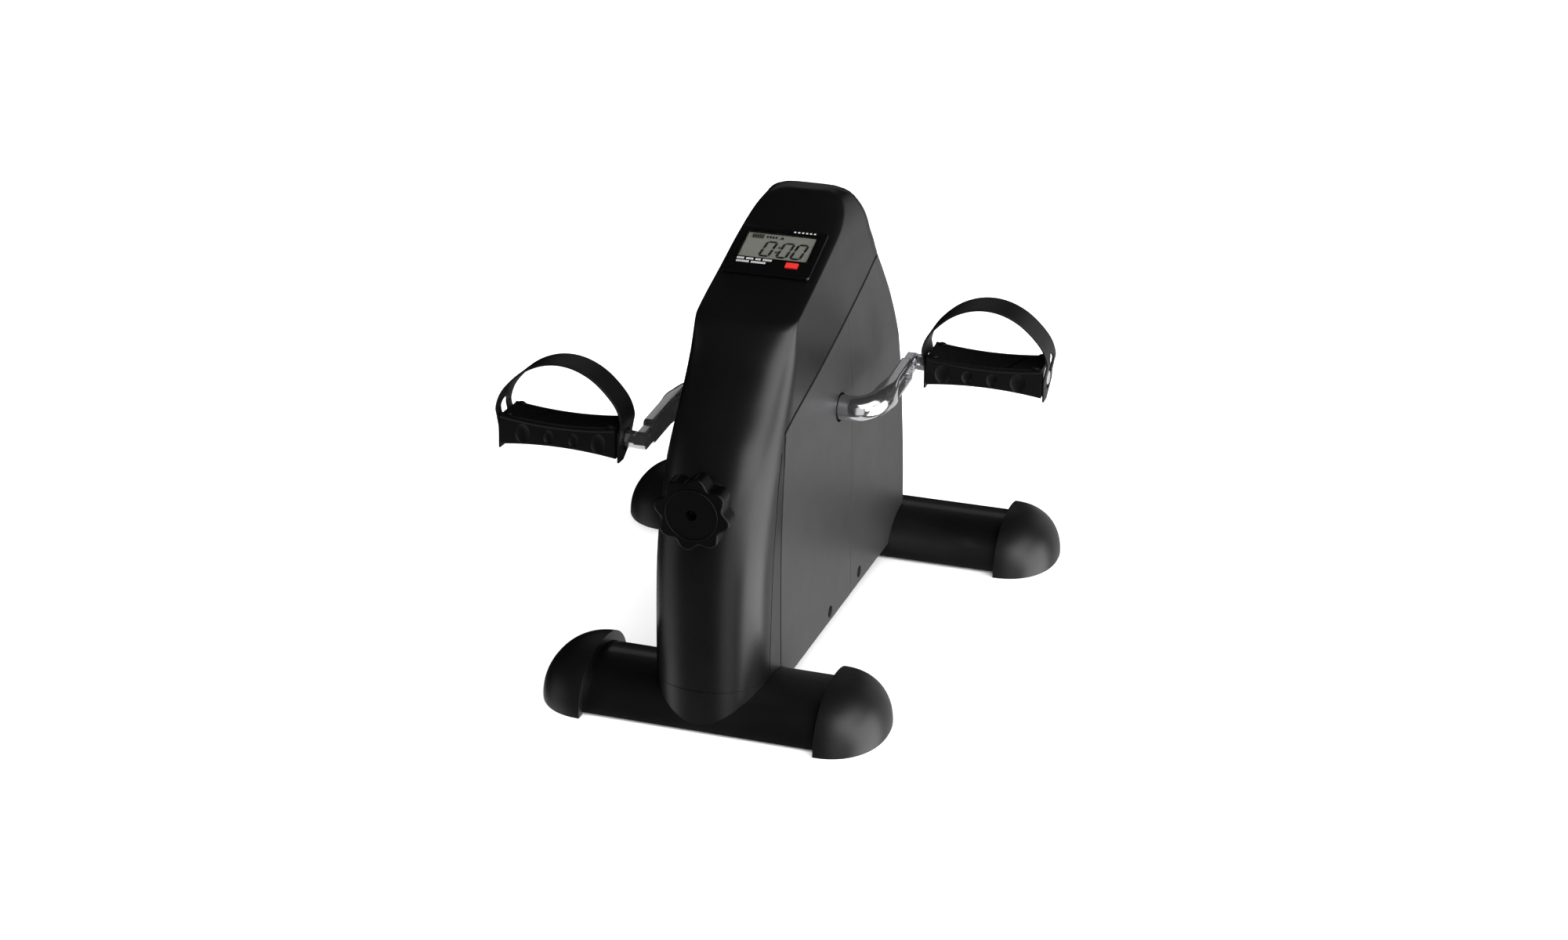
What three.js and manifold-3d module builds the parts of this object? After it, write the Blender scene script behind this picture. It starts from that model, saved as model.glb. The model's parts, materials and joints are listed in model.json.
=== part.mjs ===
// Desk-side pedal exerciser: two low feet, a wedge-shaped casing, a crank with strapped pedals,
// a friction brake set by a knob, and a small counter on top. Units are millimetres.
// X runs along the crank axle, -Y faces the user, Z is up, the floor is Z = 0.
import * as THREE from 'three';
import { mergeVertices } from 'three/addons/utils/BufferGeometryUtils.js';
import Module from 'manifold-3d';

const wasm = await Module();
wasm.setup();

// ---------------------------------------------------------------- driving dimensions
const GAP = 0.3; // clearance between pieces that touch

const FOOT_SPACING = 299.3; // front foot to rear foot, centre to centre
const FOOT_HALF_DEPTH = 40.6; // the foot bar's arched section
const FOOT_BASE = 2;
const FOOT_RISE = 29;
const FOOT_WALL = 2;
const FRONT_FOOT_HALF = 84.6; // half of the bar that shows between the caps
const REAR_FOOT_HALF = 134.4;
const CAP_LENGTH = 40.5;
const CAP_HALF_DEPTH = 47;
const CAP_HEIGHT = 37.7;
const CAP_SOCKET = 14; // how far the bar goes into its cap
const CAP_POWER = 2.2; // squareness of the dome

const AXLE_Y = -5;
const AXLE_Z = 173.8;
const AXLE_RADIUS = 7.5;
const AXLE_HALF = 54;
const CRANK_RADIUS = 93;
const CRANK_ANGLE = 0.03; // rest angle of the right crank above horizontal
const HUB_HOLE_RADIUS = 10.8;

const HUB_HALF_WIDTH = 45; // casing half width beside the axle
const WEDGE = 0.034; // the casing widens to the rear
const LEAN = 0.071; // and narrows above LEAN_START
const LEAN_START = 180;
const WALL = 3.3;
const PANEL_INSET = 0.3; // side panels sit just behind the shroud's skin
const BOOT_SEAM_Z = 33;
const PANEL_BASE_Z = 12;
const REAR_JOINT_Y = 21; // upright joint between side panel and rear shell

const BEAM_HALF_WIDTH = 24;
const BEAM_BASE = 13;
const BEAM_TOP = 27;
const PLATE_X = 18; // inner face of the two upright plates
const PLATE_THICKNESS = 4;
const BEARING_RADIUS = 14;
const WHEEL_RADIUS = 46;
const WHEEL_HALF_WIDTH = 6;

const KNOB_Z = 167.4;
const KNOB_FRONT_Y = -195.1;
const KNOB_THICKNESS = 14.5;
const KNOB_RADIUS = 26.6;
const KNOB_LOBES = 8;
const KNOB_PHASE = 0.67; // turns the lobes to their rest position
const KNOB_DIP = 4.6; // depth of the hollows between them
const SCREW_RADIUS = 3;
const NUT_Y = -108;

const PEDAL_INNER_X = 86;
const PEDAL_LENGTH = 86;
const PEDAL_OUTER_X = PEDAL_INNER_X + PEDAL_LENGTH;
const PEDAL_HALF_DEPTH = 15;
const PEDAL_HALF_HEIGHT = 11.4;
const SPINDLE_RADIUS = 5;
const STRAP_WIDTH = 26;
const STRAP_THICKNESS = 1.5;
const STRAP_TOP = 52.5; // top of the strap above the spindle

const DISPLAY = { y: -18.3, z: 291, slope: 0.341, width: 63.4, length: 50.8, rise: 2.5 };
const WINDOW = { x: -0.2, v: 5.4, width: 50.4, height: 27.6 };
const BUTTON = { x: 16.2, v: -13.8, width: 9.2, height: 5.4 };

const FRONT_Y = -FOOT_SPACING / 2;
const REAR_Y = FOOT_SPACING / 2;
const X_AXIS = new THREE.Vector3(1, 0, 0);
const Y_AXIS = new THREE.Vector3(0, 1, 0);
const Z_AXIS = new THREE.Vector3(0, 0, 1);

// ---------------------------------------------------------------- solids
function signedVolume(position, index) {
  const corner = [new THREE.Vector3(), new THREE.Vector3(), new THREE.Vector3()];
  let total = 0;
  for (let i = 0; i < index.length; i += 3) {
    corner.forEach((point, k) => point.fromBufferAttribute(position, index[i + k]));
    total += corner[0].dot(corner[1].cross(corner[2]));
  }
  return total / 6;
}

function solid(geometry) {
  const bare = new THREE.BufferGeometry();
  bare.setAttribute('position', geometry.getAttribute('position'));
  bare.setIndex(geometry.index);
  const merged = mergeVertices(bare, 1e-4);
  const source = merged.index.array;
  const kept = [];
  for (let i = 0; i < source.length; i += 3) {
    const [a, b, c] = source.slice(i, i + 3);
    if (a !== b && b !== c && c !== a) kept.push(a, b, c);
  }
  if (signedVolume(merged.getAttribute('position'), kept) < 0) kept.reverse();
  return new wasm.Manifold(new wasm.Mesh({
    numProp: 3,
    vertProperties: new Float32Array(merged.getAttribute('position').array),
    triVerts: new Uint32Array(kept),
  }));
}

function join(first, ...others) {
  return others.reduce((sum, other) => sum.add(other), first);
}

function cut(first, ...tools) {
  return tools.reduce((rest, tool) => rest.subtract(tool), first);
}

// An outline of [u, v] points, pushed along a direction: 'x' reads them as (y, z),
// 'y' as (x, z) and 'z' as (x, y).
function prism(outline, direction, from, to, holes = []) {
  const shape = new THREE.Shape(outline.map(([u, v]) => new THREE.Vector2(u, v)));
  shape.holes = holes.map((hole) => new THREE.Path(hole.map(([u, v]) => new THREE.Vector2(u, v))));
  const geometry = new THREE.ExtrudeGeometry(shape, { depth: to - from, bevelEnabled: false });
  const basis = new THREE.Matrix4();
  if (direction === 'x') basis.makeBasis(Y_AXIS, Z_AXIS, X_AXIS).setPosition(from, 0, 0);
  if (direction === 'y') basis.makeBasis(X_AXIS, Z_AXIS, new THREE.Vector3(0, -1, 0)).setPosition(0, to, 0);
  if (direction === 'z') basis.setPosition(0, 0, from);
  return solid(geometry.applyMatrix4(basis));
}

function circle(u, v, radius, steps) {
  return Array.from({ length: steps }, (_, i) => {
    const angle = (2 * Math.PI * i) / steps;
    return [u + radius * Math.cos(angle), v + radius * Math.sin(angle)];
  });
}

function rod(direction, u, v, radius, from, to, steps = 20) {
  return prism(circle(u, v, radius, steps), direction, from, to);
}

function box(x0, x1, y0, y1, z0, z1) {
  return prism([[x0, y0], [x1, y0], [x1, y1], [x0, y1]], 'z', z0, z1);
}

function roundedRectangle(u, v, width, height, radius, steps = 3) {
  const points = [];
  const corners = [[1, 1, 0], [-1, 1, 1], [-1, -1, 2], [1, -1, 3]];
  for (const [su, sv, quarter] of corners) {
    for (let i = 0; i <= steps; i++) {
      const angle = (Math.PI / 2) * (quarter + i / steps);
      const cu = u + su * (width / 2 - radius);
      const cv = v + sv * (height / 2 - radius);
      points.push([cu + radius * Math.cos(angle), cv + radius * Math.sin(angle)]);
    }
  }
  return points;
}

// A closed skin through rings of equally many points, with a flat fan over each end.
function loft(rings) {
  const count = rings[0].length;
  const vertices = rings.flat();
  const index = [];
  for (let r = 0; r < rings.length - 1; r++) {
    for (let i = 0; i < count; i++) {
      const a = r * count + i;
      const b = r * count + ((i + 1) % count);
      index.push(a, b, b + count, a, b + count, a + count);
    }
  }
  [rings[0], rings[rings.length - 1]].forEach((ring, end) => {
    const centre = ring.reduce((sum, point) => sum.add(point), new THREE.Vector3()).divideScalar(count);
    vertices.push(centre);
    const start = end * (rings.length - 1) * count;
    for (let i = 0; i < count; i++) {
      const pair = [start + i, start + ((i + 1) % count)];
      if (end === 0) pair.reverse();
      index.push(pair[0], pair[1], vertices.length - 1);
    }
  });
  const geometry = new THREE.BufferGeometry().setFromPoints(vertices);
  geometry.setIndex(index);
  return solid(geometry);
}

// A solid of revolution about the X axis, from [radius, x] pairs.
function turnedAlongX(profile, steps) {
  const closed = [...profile, profile[0]].map(([radius, x]) => new THREE.Vector2(radius, x));
  const geometry = new THREE.LatheGeometry(closed, steps);
  return solid(geometry.applyMatrix4(new THREE.Matrix4().makeRotationZ(-Math.PI / 2)));
}

function powered(value, power) {
  return Math.sign(value) * Math.abs(value) ** (2 / power);
}

// ---------------------------------------------------------------- scene helpers
const MATERIALS = {
  satin_black: { color: 0x141416, roughness: 0.42, metalness: 0 },
  panel_grey: { color: 0x3a393b, roughness: 0.5, metalness: 0 },
  foot_black: { color: 0x060607, roughness: 0.35, metalness: 0.1 },
  cap_black: { color: 0x121214, roughness: 0.5, metalness: 0 },
  chrome: { color: 0xc9c9cc, roughness: 0.12, metalness: 1 },
  steel: { color: 0x8b8d90, roughness: 0.35, metalness: 1 },
  frame_black: { color: 0x19191a, roughness: 0.5, metalness: 0.2 },
  knob_black: { color: 0x0d0d0e, roughness: 0.45, metalness: 0 },
  pedal_black: { color: 0x0c0c0d, roughness: 0.5, metalness: 0 },
  strap_black: { color: 0x101011, roughness: 0.55, metalness: 0 },
  cap_grey: { color: 0xb9b9bb, roughness: 0.5, metalness: 0 },
  bezel_black: { color: 0x08080a, roughness: 0.3, metalness: 0 },
  lcd_green: { color: 0x85867a, roughness: 0.4, metalness: 0 },
  clear_lens: { color: 0xe6ebe8, roughness: 0.05, metalness: 0, transparent: true, opacity: 0.3 },
  button_red: { color: 0xd8140f, roughness: 0.45, metalness: 0 },
  board_green: { color: 0x1d5a36, roughness: 0.6, metalness: 0 },
  battery: { color: 0x9a7a3a, roughness: 0.4, metalness: 0.5 },
  felt: { color: 0x4a4540, roughness: 0.95, metalness: 0 },
  magnet: { color: 0x55575a, roughness: 0.4, metalness: 0.8 },
};

function addPiece(group, name, material, body) {
  const mesh = body.getMesh();
  const geometry = new THREE.BufferGeometry();
  geometry.setAttribute('position', new THREE.BufferAttribute(mesh.vertProperties, 3));
  geometry.setIndex(new THREE.BufferAttribute(mesh.triVerts, 1));
  geometry.computeVertexNormals();
  const piece = new THREE.Mesh(geometry, new THREE.MeshStandardMaterial(MATERIALS[material]));
  piece.name = name;
  group.add(piece);
}

// ---------------------------------------------------------------- feet
function footOutline(centreY, growth = 0, steps = 20) {
  const points = [];
  for (let i = 0; i <= steps; i++) {
    const angle = (Math.PI * i) / steps;
    const y = centreY + (FOOT_HALF_DEPTH + growth) * Math.cos(angle);
    points.push([y, FOOT_BASE - Math.max(growth, 0) + (FOOT_RISE + 2 * growth) * Math.sin(angle)]);
  }
  return points;
}

function footBar(centreY, halfShown) {
  const half = halfShown + CAP_SOCKET - 1;
  const hollow = footOutline(centreY, -FOOT_WALL).map(([y, z]) => [y, z + FOOT_WALL]);
  return prism(footOutline(centreY), 'x', -half, half, [hollow]);
}

function footCap(centreY, halfShown, side) {
  const rings = [];
  const layers = 8;
  const steps = 18;
  for (let layer = 0; layer <= layers; layer++) {
    const lift = (Math.PI / 2) * (layer / layers);
    const shrink = powered(Math.cos(lift), CAP_POWER);
    const x = side * (halfShown + CAP_LENGTH * powered(Math.sin(lift), CAP_POWER));
    const ring = [];
    for (let i = 0; i <= steps; i++) {
      const angle = (Math.PI * i) / steps;
      const y = centreY + CAP_HALF_DEPTH * shrink * powered(Math.cos(angle), CAP_POWER);
      ring.push(new THREE.Vector3(x, y, CAP_HEIGHT * shrink * powered(Math.sin(angle), CAP_POWER)));
    }
    rings.push(ring);
  }
  rings[layers] = rings[layers].map((point) => new THREE.Vector3(point.x, centreY, 0));
  const ends = [side * (halfShown - 1), side * (halfShown + CAP_SOCKET)].sort((a, b) => a - b);
  const socket = prism(footOutline(centreY, GAP), 'x', ends[0], ends[1]);
  return cut(loft(rings), socket);
}

function addFeet(group) {
  const feet = [['front', FRONT_Y, FRONT_FOOT_HALF], ['rear', REAR_Y, REAR_FOOT_HALF]];
  for (const [end, centreY, half] of feet) {
    addPiece(group, `${end}_foot_bar`, 'foot_black', footBar(centreY, half));
    addPiece(group, `${end}_foot_cap_right`, 'cap_black', footCap(centreY, half, 1));
    addPiece(group, `${end}_foot_cap_left`, 'cap_black', footCap(centreY, half, -1));
  }
}

// ---------------------------------------------------------------- casing
// Level plan sections, from the floor up: height, front tip, depth of the rounded nose,
// rear face, rear corner radius, and how much narrower the crown has become.
const CASING_LEVELS = [
  [3, -190, 45, 153, 7, 0],
  [45, -189.5, 45, 153, 7, 0],
  [80, -188, 45, 151, 7, 0],
  [112, -185, 45, 148, 8, 0],
  [140, -178.5, 45, 144.5, 8, 0],
  [167, -167, 45, 139.5, 9, 0],
  [193, -151, 43, 133, 10, 0],
  [220, -126, 35, 123, 12, 0],
  [240, -108, 25, 112.5, 14, 0],
  [256, -96, 15, 101, 13, 0],
  [264, -89, 10, 95.5, 12, 0],
  [268, -78, 9, 93, 11, 0],
  [280, -42, 13, 85.5, 9, 0.5],
  [290, -14, 17, 81, 8, 1],
  [297, 5.6, 20, 77.5, 8, 2],
  [304, 22, 19, 74, 8, 4.5],
  [310, 35, 14, 71, 7, 9],
  [314, 43, 9, 67, 8, 15.5],
  [316, 49, 5, 62, 9, 25],
];
const NOSE_POWER = 2.5;
const CROWN_START = 262;

function halfWidth(y, z) {
  return HUB_HALF_WIDTH + WEDGE * (y - AXLE_Y) - LEAN * Math.max(0, z - LEAN_START);
}

function cornerArc(ring, x, y, radius, startAngle, z) {
  const steps = 3;
  for (let i = 0; i <= steps; i++) {
    const angle = startAngle - (Math.PI / 2) * (i / steps);
    ring.push(new THREE.Vector3(x + radius * Math.cos(angle), y + radius * Math.sin(angle), z));
  }
}

function planRing([z, tip, nose, rear, corner, narrowing], inset) {
  const steps = 12;
  const side = (y) => halfWidth(y, z) - narrowing - inset;
  const height = z > CROWN_START ? z - inset : z;
  const noseEnd = tip + nose;
  const back = rear - inset;
  const radius = Math.max(corner - inset, 1);
  const ring = [];
  for (let i = 0; i <= steps; i++) {
    const angle = (Math.PI * i) / steps;
    const y = noseEnd - (nose - inset) * powered(Math.sin(angle), NOSE_POWER);
    ring.push(new THREE.Vector3(side(noseEnd) * powered(Math.cos(angle), NOSE_POWER), y, height));
  }
  const middle = (noseEnd + back - radius) / 2;
  ring.push(new THREE.Vector3(-side(middle), middle, height));
  cornerArc(ring, -side(back) + radius, back - radius, radius, Math.PI, height);
  cornerArc(ring, side(back) - radius, back - radius, radius, Math.PI / 2, height);
  ring.push(new THREE.Vector3(side(middle), middle, height));
  return ring;
}

function casingBody(inset) {
  const rings = CASING_LEVELS.map((level) => planRing(level, inset));
  if (inset > PANEL_INSET) rings.unshift(rings[0].map((point) => new THREE.Vector3(point.x, point.y, -5)));
  return loft(rings);
}

// The line where the shroud laps over the side panels, from the front foot up and back.
const PANEL_FRONT_Y = -131;
const SEAM = [
  [PANEL_FRONT_Y, 45], [-131, 80], [-130, 122], [-125.5, 168], [-122.5, 185],
  [-118.5, 196], [-110, 203], [-48, 217.5], [10, 233], [60, 248], [98, 261], [140, 274],
];
// A fine crease ahead of it, where the shroud's round nose meets its flat flank.
const NOSE_EDGE_Y = -152;
const CREASE = [
  [NOSE_EDGE_Y, BOOT_SEAM_Z - 1], [-152, 45], [-149, 80], [-144, 122], [-133.5, 168], [-125, 188],
];
const CREASE_WIDTH = 0.9;
const CREASE_DEPTH = 0.6;
const REGION_HALF = 80;

function region(outline) {
  return prism(outline, 'x', -REGION_HALF, REGION_HALF);
}

function footTools() {
  return [region(footOutline(FRONT_Y, GAP)), region(footOutline(REAR_Y, GAP))];
}

function displayTool(width, length, from, to) {
  return inDisplayFrame(box(-width / 2, width / 2, -length / 2, length / 2, from, to));
}

function inDisplayFrame(body) {
  const degrees = (DISPLAY.slope * 180) / Math.PI;
  return body.rotate([degrees, 0, 0]).translate([0, DISPLAY.y, DISPLAY.z]);
}

function crease() {
  const edge = (shift) => CREASE.map(([y, z]) => [y + shift, z]);
  const ribbon = region([...edge(-CREASE_WIDTH / 2), ...edge(CREASE_WIDTH / 2).reverse()]);
  return cut(ribbon, casingBody(CREASE_DEPTH));
}

function shroud() {
  const flank = [[NOSE_EDGE_Y + GAP, PANEL_BASE_Z], [PANEL_FRONT_Y, PANEL_BASE_Z], ...SEAM];
  const above = [[230, 274], [230, 340], [-230, 340], [-230, BOOT_SEAM_Z], [NOSE_EDGE_Y + GAP, BOOT_SEAM_Z]];
  const face = [...flank, ...above];
  const inner = casingBody(PANEL_INSET + WALL);
  const boss = rod('y', 0, KNOB_Z, 13, KNOB_FRONT_Y + KNOB_THICKNESS + 2, -158, 20);
  const skin = cut(join(casingBody(0), boss), inner);
  const lid = displayTool(DISPLAY.width + 2 * GAP, DISPLAY.length + 2 * GAP, -DISPLAY.rise - GAP, 20);
  const well = displayTool(56, 44, -30, 20);
  const screwHole = rod('y', 0, KNOB_Z, SCREW_RADIUS + 1, -200, -120, 16);
  return cut(skin.intersect(region(face)), lid, well, screwHole, crease(), footTools()[0]);
}

function boot() {
  const top = BOOT_SEAM_Z - GAP;
  const outline = [[-230, -1], [NOSE_EDGE_Y, -1], [NOSE_EDGE_Y, top], [-230, top]];
  const skin = cut(casingBody(0), casingBody(PANEL_INSET + WALL));
  return cut(skin.intersect(region(outline)), region(footOutline(FRONT_Y, GAP)));
}

const CASING_SCREWS = [[-25, 19.5], [41, 21]];

function sideSkin() {
  const seam = SEAM.map(([y, z]) => [y + GAP, z - GAP]);
  const outline = [[PANEL_FRONT_Y + GAP, PANEL_BASE_Z], ...seam, [230, 274 - GAP], [230, PANEL_BASE_Z]];
  const skin = cut(casingBody(PANEL_INSET), casingBody(PANEL_INSET + WALL)).intersect(region(outline));
  const holes = CASING_SCREWS.map(([y, z]) => rod('x', y, z, 4.5, -REGION_HALF, REGION_HALF, 16));
  const hub = rod('x', AXLE_Y, AXLE_Z, HUB_HOLE_RADIUS, -REGION_HALF, REGION_HALF, 28);
  return cut(skin, hub, ...holes, ...footTools());
}

function addCasing(group) {
  addPiece(group, 'front_shroud', 'satin_black', shroud());
  addPiece(group, 'front_boot', 'satin_black', boot());
  const skin = sideSkin();
  const sides = [['right', GAP / 2, REGION_HALF], ['left', -REGION_HALF, -GAP / 2]];
  for (const [side, x0, x1] of sides) {
    const front = box(x0, x1, -230, REAR_JOINT_Y - GAP / 2, -1, 340);
    const rear = box(x0, x1, REAR_JOINT_Y + GAP / 2, 230, -1, 340);
    addPiece(group, `side_panel_${side}`, 'panel_grey', skin.intersect(front));
    addPiece(group, `rear_shell_${side}`, 'panel_grey', skin.intersect(rear));
  }
}

// ---------------------------------------------------------------- inner frame
function baseBeam() {
  const outer = box(-BEAM_HALF_WIDTH, BEAM_HALF_WIDTH, FRONT_Y, REAR_Y, BEAM_BASE, BEAM_TOP);
  const bore = box(2 - BEAM_HALF_WIDTH, BEAM_HALF_WIDTH - 2, FRONT_Y, REAR_Y, BEAM_BASE + 2, BEAM_TOP - 2);
  const lugs = CASING_SCREWS.map(([y, z]) => {
    const reach = halfWidth(y, z) - PANEL_INSET - WALL - GAP;
    return box(-reach, reach, y - 6, y + 6, BEAM_BASE, BEAM_TOP);
  });
  const holes = CASING_SCREWS.map(([y, z]) => rod('x', y, z, 2, -REGION_HALF, REGION_HALF, 12));
  return cut(join(cut(outer, bore), ...lugs), ...holes, bore, ...footTools());
}

function casingScrew(y, z, side) {
  const face = halfWidth(y, z) - PANEL_INSET - WALL;
  const head = turnedAlongX([[0, face], [3.6, face], [3.6, face + 1.4], [0, face + 1.4]], 16);
  const shank = turnedAlongX([[0, face - 10], [1.6, face - 10], [1.6, face + 0.5], [0, face + 0.5]], 12);
  const body = join(head, shank).translate([0, y, z]);
  return side > 0 ? body : body.mirror([1, 0, 0]);
}

function uprightPlate(side) {
  const foot = BEAM_TOP + GAP;
  const outline = [[AXLE_Y - 40, foot], [AXLE_Y + 40, foot]];
  const steps = 12;
  for (let i = 0; i <= steps; i++) {
    const angle = -0.25 + (Math.PI + 0.5) * (i / steps);
    outline.push([AXLE_Y + 21 * Math.cos(angle), AXLE_Z + 21 * Math.sin(angle)]);
  }
  const bore = circle(AXLE_Y, AXLE_Z, BEARING_RADIUS + GAP, 28);
  const inner = side > 0 ? PLATE_X : -PLATE_X - PLATE_THICKNESS;
  return prism(outline, 'x', inner, inner + PLATE_THICKNESS, [bore]);
}

function ringAlongX(outer, inner, from, to, steps = 28) {
  const profile = [[inner, from], [outer, from], [outer, to], [inner, to]];
  return turnedAlongX(profile, steps).translate([0, AXLE_Y, AXLE_Z]);
}

function addInnerFrame(group) {
  addPiece(group, 'base_beam', 'frame_black', baseBeam());
  for (const [side, sign] of [['right', 1], ['left', -1]]) {
    addPiece(group, `upright_plate_${side}`, 'frame_black', uprightPlate(sign));
    const ends = [sign * (PLATE_X - 1), sign * (PLATE_X + PLATE_THICKNESS + 3)].sort((a, b) => a - b);
    const ring = ringAlongX(BEARING_RADIUS, AXLE_RADIUS + GAP, ends[0], ends[1]);
    addPiece(group, `bearing_${side}`, 'steel', ring);
    CASING_SCREWS.forEach(([y, z], i) => {
      addPiece(group, `casing_screw_${side}_${i ? 'rear' : 'front'}`, 'steel', casingScrew(y, z, sign));
    });
  }
}

// ---------------------------------------------------------------- brake
const BAND_START = Math.PI * 0.955; // front end of the band, where the spring pulls
const BAND_END = -Math.PI * 0.7; // fixed end, under the wheel
const BAND_RADIUS = WHEEL_RADIUS + 0.4;
const BAND_THICKNESS = 2;
const BAND_HALF_WIDTH = 5;

function aroundAxle(angle, radius) {
  return [AXLE_Y + radius * Math.cos(angle), AXLE_Z + radius * Math.sin(angle)];
}

function brakeBand() {
  const steps = 30;
  const inner = [];
  const outer = [];
  for (let i = 0; i <= steps; i++) {
    const angle = BAND_END + (BAND_START - BAND_END) * (i / steps);
    inner.push(aroundAxle(angle, BAND_RADIUS));
    outer.push(aroundAxle(angle, BAND_RADIUS + BAND_THICKNESS));
  }
  const strip = prism([...inner, ...outer.reverse()], 'x', -BAND_HALF_WIDTH, BAND_HALF_WIDTH);
  const lug = (angle, turn) => {
    const corners = [[angle, 1], [angle, 9], [angle + turn, 9], [angle + turn, 1]];
    const outline = corners.map(([a, r]) => aroundAxle(a, BAND_RADIUS + r));
    return prism(outline, 'x', -BAND_HALF_WIDTH, BAND_HALF_WIDTH);
  };
  return join(strip, lug(BAND_START, -0.05), lug(BAND_END, 0.05));
}

function bandAnchor() {
  const [y, z] = aroundAxle(BAND_END - 0.075, BAND_RADIUS + 6);
  return rod('x', y, z, 3, -PLATE_X + GAP, PLATE_X - GAP, 16);
}

function brakeWheel() {
  const w = WHEEL_HALF_WIDTH;
  const bore = AXLE_RADIUS + GAP;
  const half = [[bore, w], [13, w], [13, 2], [38, 2], [38, w], [WHEEL_RADIUS, w]];
  const profile = [...half, ...half.map(([r, x]) => [r, -x]).reverse()];
  return turnedAlongX(profile, 28);
}

class SpringCurve extends THREE.Curve {
  constructor(radius, turns, start, end) {
    super();
    Object.assign(this, { radius, turns, start, end });
  }

  getPoint(t) {
    const angle = 2 * Math.PI * this.turns * t;
    const point = new THREE.Vector3(this.radius * Math.cos(angle), 0, this.radius * Math.sin(angle));
    return point.addScaledVector(this.end, t).addScaledVector(this.start, 1 - t);
  }
}

function tensionSpring() {
  const [lugY, lugZ] = aroundAxle(BAND_START, BAND_RADIUS + 6);
  const start = new THREE.Vector3(0, NUT_Y + 5.5 + GAP, KNOB_Z);
  const end = new THREE.Vector3(0, lugY - 2.2, lugZ);
  const curve = new SpringCurve(4.2, 7, start, end);
  const shape = new THREE.Shape(circle(0, 0, 0.8, 4).map(([u, v]) => new THREE.Vector2(u, v)));
  return solid(new THREE.ExtrudeGeometry(shape, { steps: 56, extrudePath: curve, bevelEnabled: false }));
}

function tensionNut() {
  const block = box(-8, 8, NUT_Y - 4, NUT_Y + 4, KNOB_Z - 8, KNOB_Z + 8);
  return cut(block, rod('y', 0, KNOB_Z, SCREW_RADIUS + GAP, -200, 0, 16));
}

function lobedOutline(radius, dip, stepsPerLobe) {
  const steps = KNOB_LOBES * stepsPerLobe;
  return Array.from({ length: steps }, (_, i) => {
    const angle = (2 * Math.PI * i) / steps;
    const fromLobe = Math.abs(Math.sin((KNOB_LOBES * angle) / 2 + KNOB_PHASE));
    const r = radius - dip * fromLobe ** 2.4;
    return [r * Math.cos(angle), KNOB_Z + r * Math.sin(angle)];
  });
}

function tensionKnob() {
  const back = KNOB_FRONT_Y + KNOB_THICKNESS;
  const rim = prism(lobedOutline(KNOB_RADIUS, KNOB_DIP, 6), 'y', KNOB_FRONT_Y + 1.5, back);
  const face = prism(lobedOutline(KNOB_RADIUS - 1.6, KNOB_DIP, 6), 'y', KNOB_FRONT_Y, KNOB_FRONT_Y + 2);
  const dish = rod('y', 0, KNOB_Z, 18.4, KNOB_FRONT_Y - 1, KNOB_FRONT_Y + 1.4, 24);
  const hole = rod('y', 0, KNOB_Z, SCREW_RADIUS + 0.6, KNOB_FRONT_Y - 1, back + 1, 16);
  return cut(join(rim, face), dish, hole);
}

function tensionScrew() {
  return rod('y', 0, KNOB_Z, SCREW_RADIUS, KNOB_FRONT_Y + 5, NUT_Y + 5, 16);
}

function speedSensor() {
  const [y, z] = aroundAxle(2.2, 30);
  return box(10, PLATE_X - GAP, y - 5, y + 5, z - 9, z + 9);
}

function speedMagnet() {
  const [y, z] = aroundAxle(0.6, 30);
  return rod('x', y - AXLE_Y, z - AXLE_Z, 4, 2 + GAP, WHEEL_HALF_WIDTH + 1, 14);
}

function addBrake(group) {
  addPiece(group, 'brake_band', 'felt', brakeBand());
  addPiece(group, 'band_anchor', 'steel', bandAnchor());
  addPiece(group, 'tension_spring', 'steel', tensionSpring());
  addPiece(group, 'tension_nut', 'steel', tensionNut());
  addPiece(group, 'tension_screw', 'steel', tensionScrew());
  addPiece(group, 'tension_knob', 'knob_black', tensionKnob());
  addPiece(group, 'speed_sensor', 'bezel_black', speedSensor());
}

// ---------------------------------------------------------------- crankset and pedals
// The arm's centreline, in the frame of the right crank: x outward, y along the arm.
const ARM_PATH = new THREE.CatmullRomCurve3([
  new THREE.Vector3(44.5, 0, 0),
  new THREE.Vector3(53, 0, 0),
  new THREE.Vector3(61, 3, 0),
  new THREE.Vector3(67, 11.5, 0),
  new THREE.Vector3(70, 25, 0),
  new THREE.Vector3(71.5, 44, 0),
  new THREE.Vector3(71.5, CRANK_RADIUS + 8, 0),
]);
const ARM_TUBE_RADIUS = 9.2;
const ARM_THICKNESS = 9;
const ARM_HEIGHT = 18;
const TONGUE_HEIGHT = 12.8; // the arm steps down to this around the pedal's eye
const TONGUE_THICKNESS = 8.2;
const TONGUE_FACE_X = 71.5 + ARM_THICKNESS / 2 - (ARM_THICKNESS - TONGUE_THICKNESS);
const TROUGH = { y: 54, length: 48, height: 10.4, floorX: 73.2 }; // hollow in the arm's outer face
const COLLAR_RADIUS = 6;
const COLLAR_END = 83;

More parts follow.
